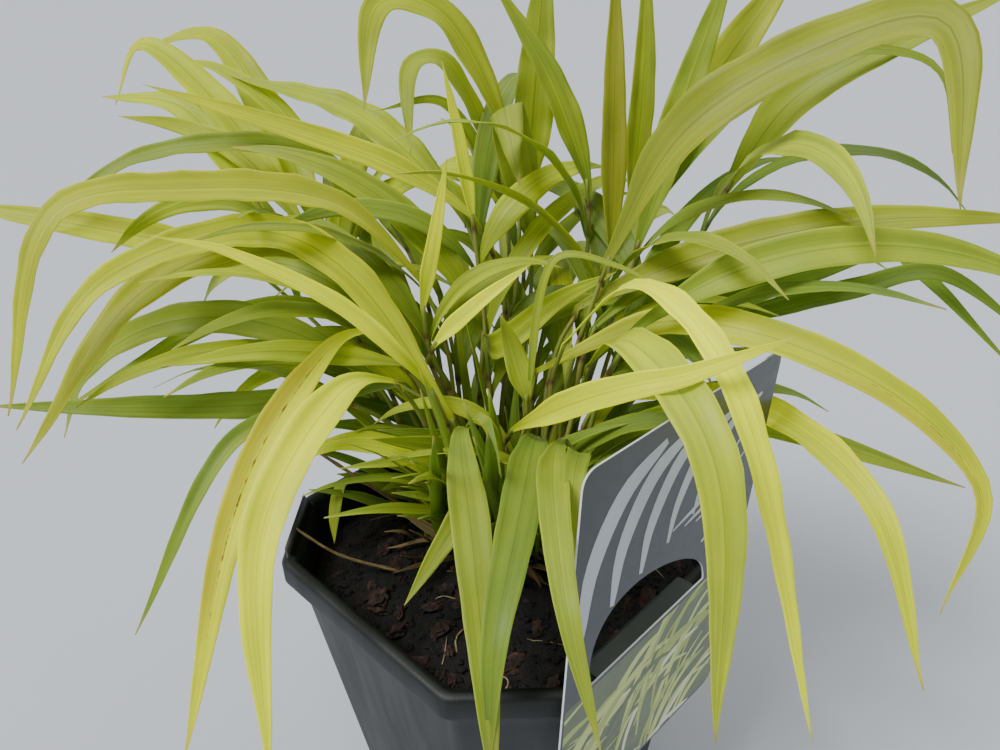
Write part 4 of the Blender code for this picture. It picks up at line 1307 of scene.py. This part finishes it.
def slotOutline(steps):
    # straight along the rim's top, arched above it
    p = labelSettings
    points = []
    for k in range(steps + 1):
        angle = math.pi * k / steps
        x = p["slotMiddle"] + p["slotHalf"] * math.cos(angle)
        y = 0.8 + p["slotRise"] * math.sin(angle) ** 0.8 * (1 - 0.25 * math.cos(angle))
        points.append(Vector((x, y)))
    return points


def plasticSheet(name, colours, roughness, scale):
    # gloss-laminated polypropylene card: smooth print under a clear film that mirrors softly
    material, tree, shader = newMaterial(name)
    at = (addNode(tree, "ShaderNodeTexCoord"), "Object")
    scratch = noiseOf(tree, at, 300.0, 2.0)
    feed(tree, shader, {
        "Base Color": ramped(tree, noiseOf(tree, at, scale, 3.0), ((0.3, colours[0]), (0.7, colours[1]))),
        "Roughness": mapped(tree, scratch, 0.3, 0.7, roughness, roughness + 0.1),
        "Coat Weight": 0.25, "Coat Roughness": 0.15})
    return material


def inkStrip(shape, points, width, lift, index):
    # printed stroke: tapered at both ends, a hair above the card
    steps = labelSettings["strokeSteps"]
    course = smoothCourse([Vector((x, y, 0)) for x, y in points], steps)
    tangents = tangentsOf(course)
    made = bmesh.ops.create_grid(shape, x_segments=1, y_segments=steps, size=1)
    for vert in made["verts"]:
        i = round((vert.co.y + 1) / 2 * steps)
        half = width / 2 * math.sin(math.pi * (0.06 + 0.88 * i / steps)) ** 0.7
        side = tangents[i].cross(Vector((0, 0, 1)))
        vert.co = course[i] - side * half * vert.co.x + Vector((0, 0, lift))
    paint(made["verts"], index)


def clipToCard(shape, inset, top=None):
    # keeps what lies within the card's straight edges, and below top
    corners = [Vector((x, z - potSettings["height"] / mm, 0)) for x, z in labelSettings["corners"]]
    for a, b in zip(corners, corners[1:] + corners[:1]):
        out = (b - a).normalized().cross(Vector((0, 0, 1)))
        cutAway(shape, a - out * inset, out, 1e-4)
    if top is not None:
        cutAway(shape, Vector((0, top, 0)), Vector((0, 1, 0)), 1e-4)


def buildLabelCard(materials):
    p = labelSettings
    outline = bpy.data.curves.new("label_outline", "CURVE")
    outline.dimensions = "2D"
    outline.fill_mode = "BOTH"
    outline.extrude = p["thick"] / 2
    corners = [Vector((x, z - potSettings["height"] / mm)) for x, z in p["corners"]]
    for points in (roundedOutline(corners, p["cornerRadius"], 10), slotOutline(32)):
        spline = outline.splines.new("POLY")
        spline.points.add(len(points) - 1)
        for point, place in zip(spline.points, points):
            point.co = (place.x, place.y, 0, 1)
        spline.use_cyclic_u = True
    flat = linkObject("card_outline", outline)
    mesh = bakedMesh(flat)
    bpy.data.objects.remove(flat)
    shape = bmesh.new()
    shape.from_mesh(mesh)
    bmesh.ops.remove_doubles(shape, verts=shape.verts, dist=0.01)
    bmesh.ops.recalc_face_normals(shape, faces=shape.faces)
    for face in shape.faces:
        face.material_index = 2 if abs(face.normal.z) < 0.5 else (0 if face.normal.z > 0 else 1)
    bmesh.ops.transform(shape, matrix=labelPlace(), verts=shape.verts)
    card = addPiece("label_card", shape, materials, smooth=False)
    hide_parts("plant_label")


def buildLabelTongue(material):
    # the flap that hooks over the rim: a bent strip that springs from the slot's foot
    p = labelSettings
    top = potSettings["height"] / mm + p["gap"] + p["thick"] / 2 + 0.1
    outer = potSettings["rimHalf"] / mm + p["gap"] + p["thick"]
    inner = (wallHalf(potSettings["height"]) - potSettings["thick"]) / mm - p["gap"] - p["thick"]
    drop = top - p["tongueFoot"]
    lean = potSettings["taper"] * drop
    # reach out from the pot's middle and height, from the card inwards and down
    path = [(outer, top), (inner + 1.2, top), (inner + 0.1, top - 0.5), (inner - 0.4, top - 1.6),
            (inner - 0.4 - lean, p["tongueFoot"])]
    path = [Vector(place) for place in path]
    shape = bmesh.new()
    steps = len(path) - 1
    made = bmesh.ops.create_grid(shape, x_segments=6, y_segments=steps, size=1)
    for vert in made["verts"]:
        reach, z = path[round((vert.co.y + 1) / 2 * steps)]
        half = p["tongueHalf"] - p["tongueTaper"] * max(0, (top - z) / drop)
        vert.co = Vector((p["slotMiddle"] + vert.co.x * half, -reach, z)) * mm
    bmesh.ops.recalc_face_normals(shape, faces=shape.faces)
    bmesh.ops.transform(shape, matrix=Matrix.Rotation(potSettings["turn"], 4, "Z"), verts=shape.verts)
    bmesh.ops.solidify(shape, geom=shape.faces[:], thickness=p["tongueThick"] * mm)
    tongue = addPiece("label_tongue", shape, [material], smooth=False)
    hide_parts("plant_label")


def buildLabelPrint():
    # plain sweeping arcs above, a soft field of arching bands below the slot
    face = labelSettings["thick"] / 2
    shape = bmesh.new()
    for k in range(5):
        x = -44 + 15 * k
        arc = ((x, 22 + 3 * k), (x + 6, 44), (x + 22, 62 - k), (x + 44, 70 - 2 * k))
        inkStrip(shape, arc, 7.6 - 0.9 * k, face + 0.05, 0)
    for k in range(3):
        arc = ((4 + 7 * k, 34 - 2 * k), (24 + 6 * k, 38 - 3 * k), (50, 52 - 9 * k))
        inkStrip(shape, arc, 2.0, face + 0.07, 0)
    inkStrip(shape, ((22, 19), (36, 22), (50, 23)), 3.2, face + 0.06, 0)
    clipToCard(shape, 1.0)
    field = bmesh.new()
    made = bmesh.ops.create_grid(field, x_segments=1, y_segments=1, size=80)
    bmesh.ops.translate(field, verts=made["verts"], vec=(0, 0, face + 0.02))
    draw = random.Random("label bands")
    for k in range(labelSettings["bands"]):
        # each band leaves low on the left and arches over to the right
        x = draw.uniform(-95, 5)
        y = draw.uniform(-80, -34)
        lean = math.radians(draw.uniform(44, 78))
        reach = draw.uniform(42, 84)
        points = [(x, y)]
        for part in range(5):
            x += math.cos(lean) * reach / 5
            y += math.sin(lean) * reach / 5
            points.append((x, y))
            lean -= math.radians(draw.uniform(6, 26))
        ink = draw.choice((1, 1, 1, 2, 2, 3, 4))
        inkStrip(field, points, draw.uniform(1.2, 3.6), face + 0.03 + 0.0008 * k, ink)
    clipToCard(field, 1.0, top=-0.4)
    # the field's own sheet takes the last ink
    for face in field.faces:
        if face.material_index == 0:
            face.material_index = 5
    mesh = meshOf("field", field)
    shape.from_mesh(mesh)
    bpy.data.meshes.remove(mesh)
    bmesh.ops.transform(shape, matrix=labelPlace(), verts=shape.verts)
    inks = [plasticSheet(name, colours, 0.3, scale) for name, colours, scale in labelSettings["inks"]]
    addPiece("label_print", shape, inks, smooth=False)


def buildLabel():
    front = plasticSheet("laminated_label_card", ("#2c3034", "#363b40"), 0.28, 25.0)
    back = plasticSheet("bare_label_back", ("#c9cccc", "#d6d8d7"), 0.4, 25.0)
    core = plasticSheet("white_card_core", ("#e4e6e6", "#eeefef"), 0.5, 60.0)
    buildLabelCard([front, back, core])
    # the flap is the card's own slate, painted darker as painted shade for where it bends over the rim
    buildLabelTongue(plasticSheet("card_flap_painted_shade", ("#23282b", "#2d3336"), 0.35, 25.0))
    buildLabelPrint()
    print("label: card, tongue and plain print")


# the studio

studioSettings = {
    "eye": Vector((0, -250, 340)) * mm,
    "pitch": math.radians(28),
    "roll": math.radians(-1.5),
    "focal": 780,  # in widths of a 1000-pixel picture
    "floor": "#cdd2d9",
    "world": "#dfe3e8",
    "worldStrength": 0.52,
    "lights": (("window", (-1.0, -0.5, 1.7), 26, 2.7), ("sky", (0.5, 0.9, 1.6), 60, 0.8)),
}


def buildStudio():
    s = studioSettings
    camera = linkObject("camera", bpy.data.cameras.new("camera"))
    camera.data.sensor_width = 36
    camera.data.lens = 36 * s["focal"] / 1000
    camera.data.clip_start = 0.01
    turn = Matrix.Rotation(math.pi / 2 - s["pitch"], 4, "X") @ Matrix.Rotation(s["roll"], 4, "Z")
    camera.matrix_world = Matrix.Translation(s["eye"]) @ turn
    bpy.context.scene.camera = camera
    shape = bmesh.new()
    bmesh.ops.create_grid(shape, x_segments=1, y_segments=1, size=30)
    floor = linkObject("floor", meshOf("floor", shape))
    material, tree, shader = newMaterial("matt_white_table")
    feed(tree, shader, {"Base Color": (*linear(s["floor"]), 1), "Roughness": 0.6})
    floor.data.materials.append(material)
    world = bpy.data.worlds.new("studio")
    world.use_nodes = True
    background = world.node_tree.nodes["Background"]
    background.inputs[0].default_value = (*linear(s["world"]), 1)
    background.inputs[1].default_value = s["worldStrength"]
    bpy.context.scene.world = world
    for name, place, angle, power in s["lights"]:
        light = bpy.data.lights.new(name, "SUN")
        light.angle = math.radians(angle)
        light.energy = power
        lamp = linkObject(name, light)
        lamp.location = place
        lamp.rotation_euler = (-Vector(place)).to_track_quat("-Z", "Y").to_euler()
    print("studio: camera, floor and lights")


buildStudio()
buildPot()
buildSoil()
buildLabel()
buildGrass()
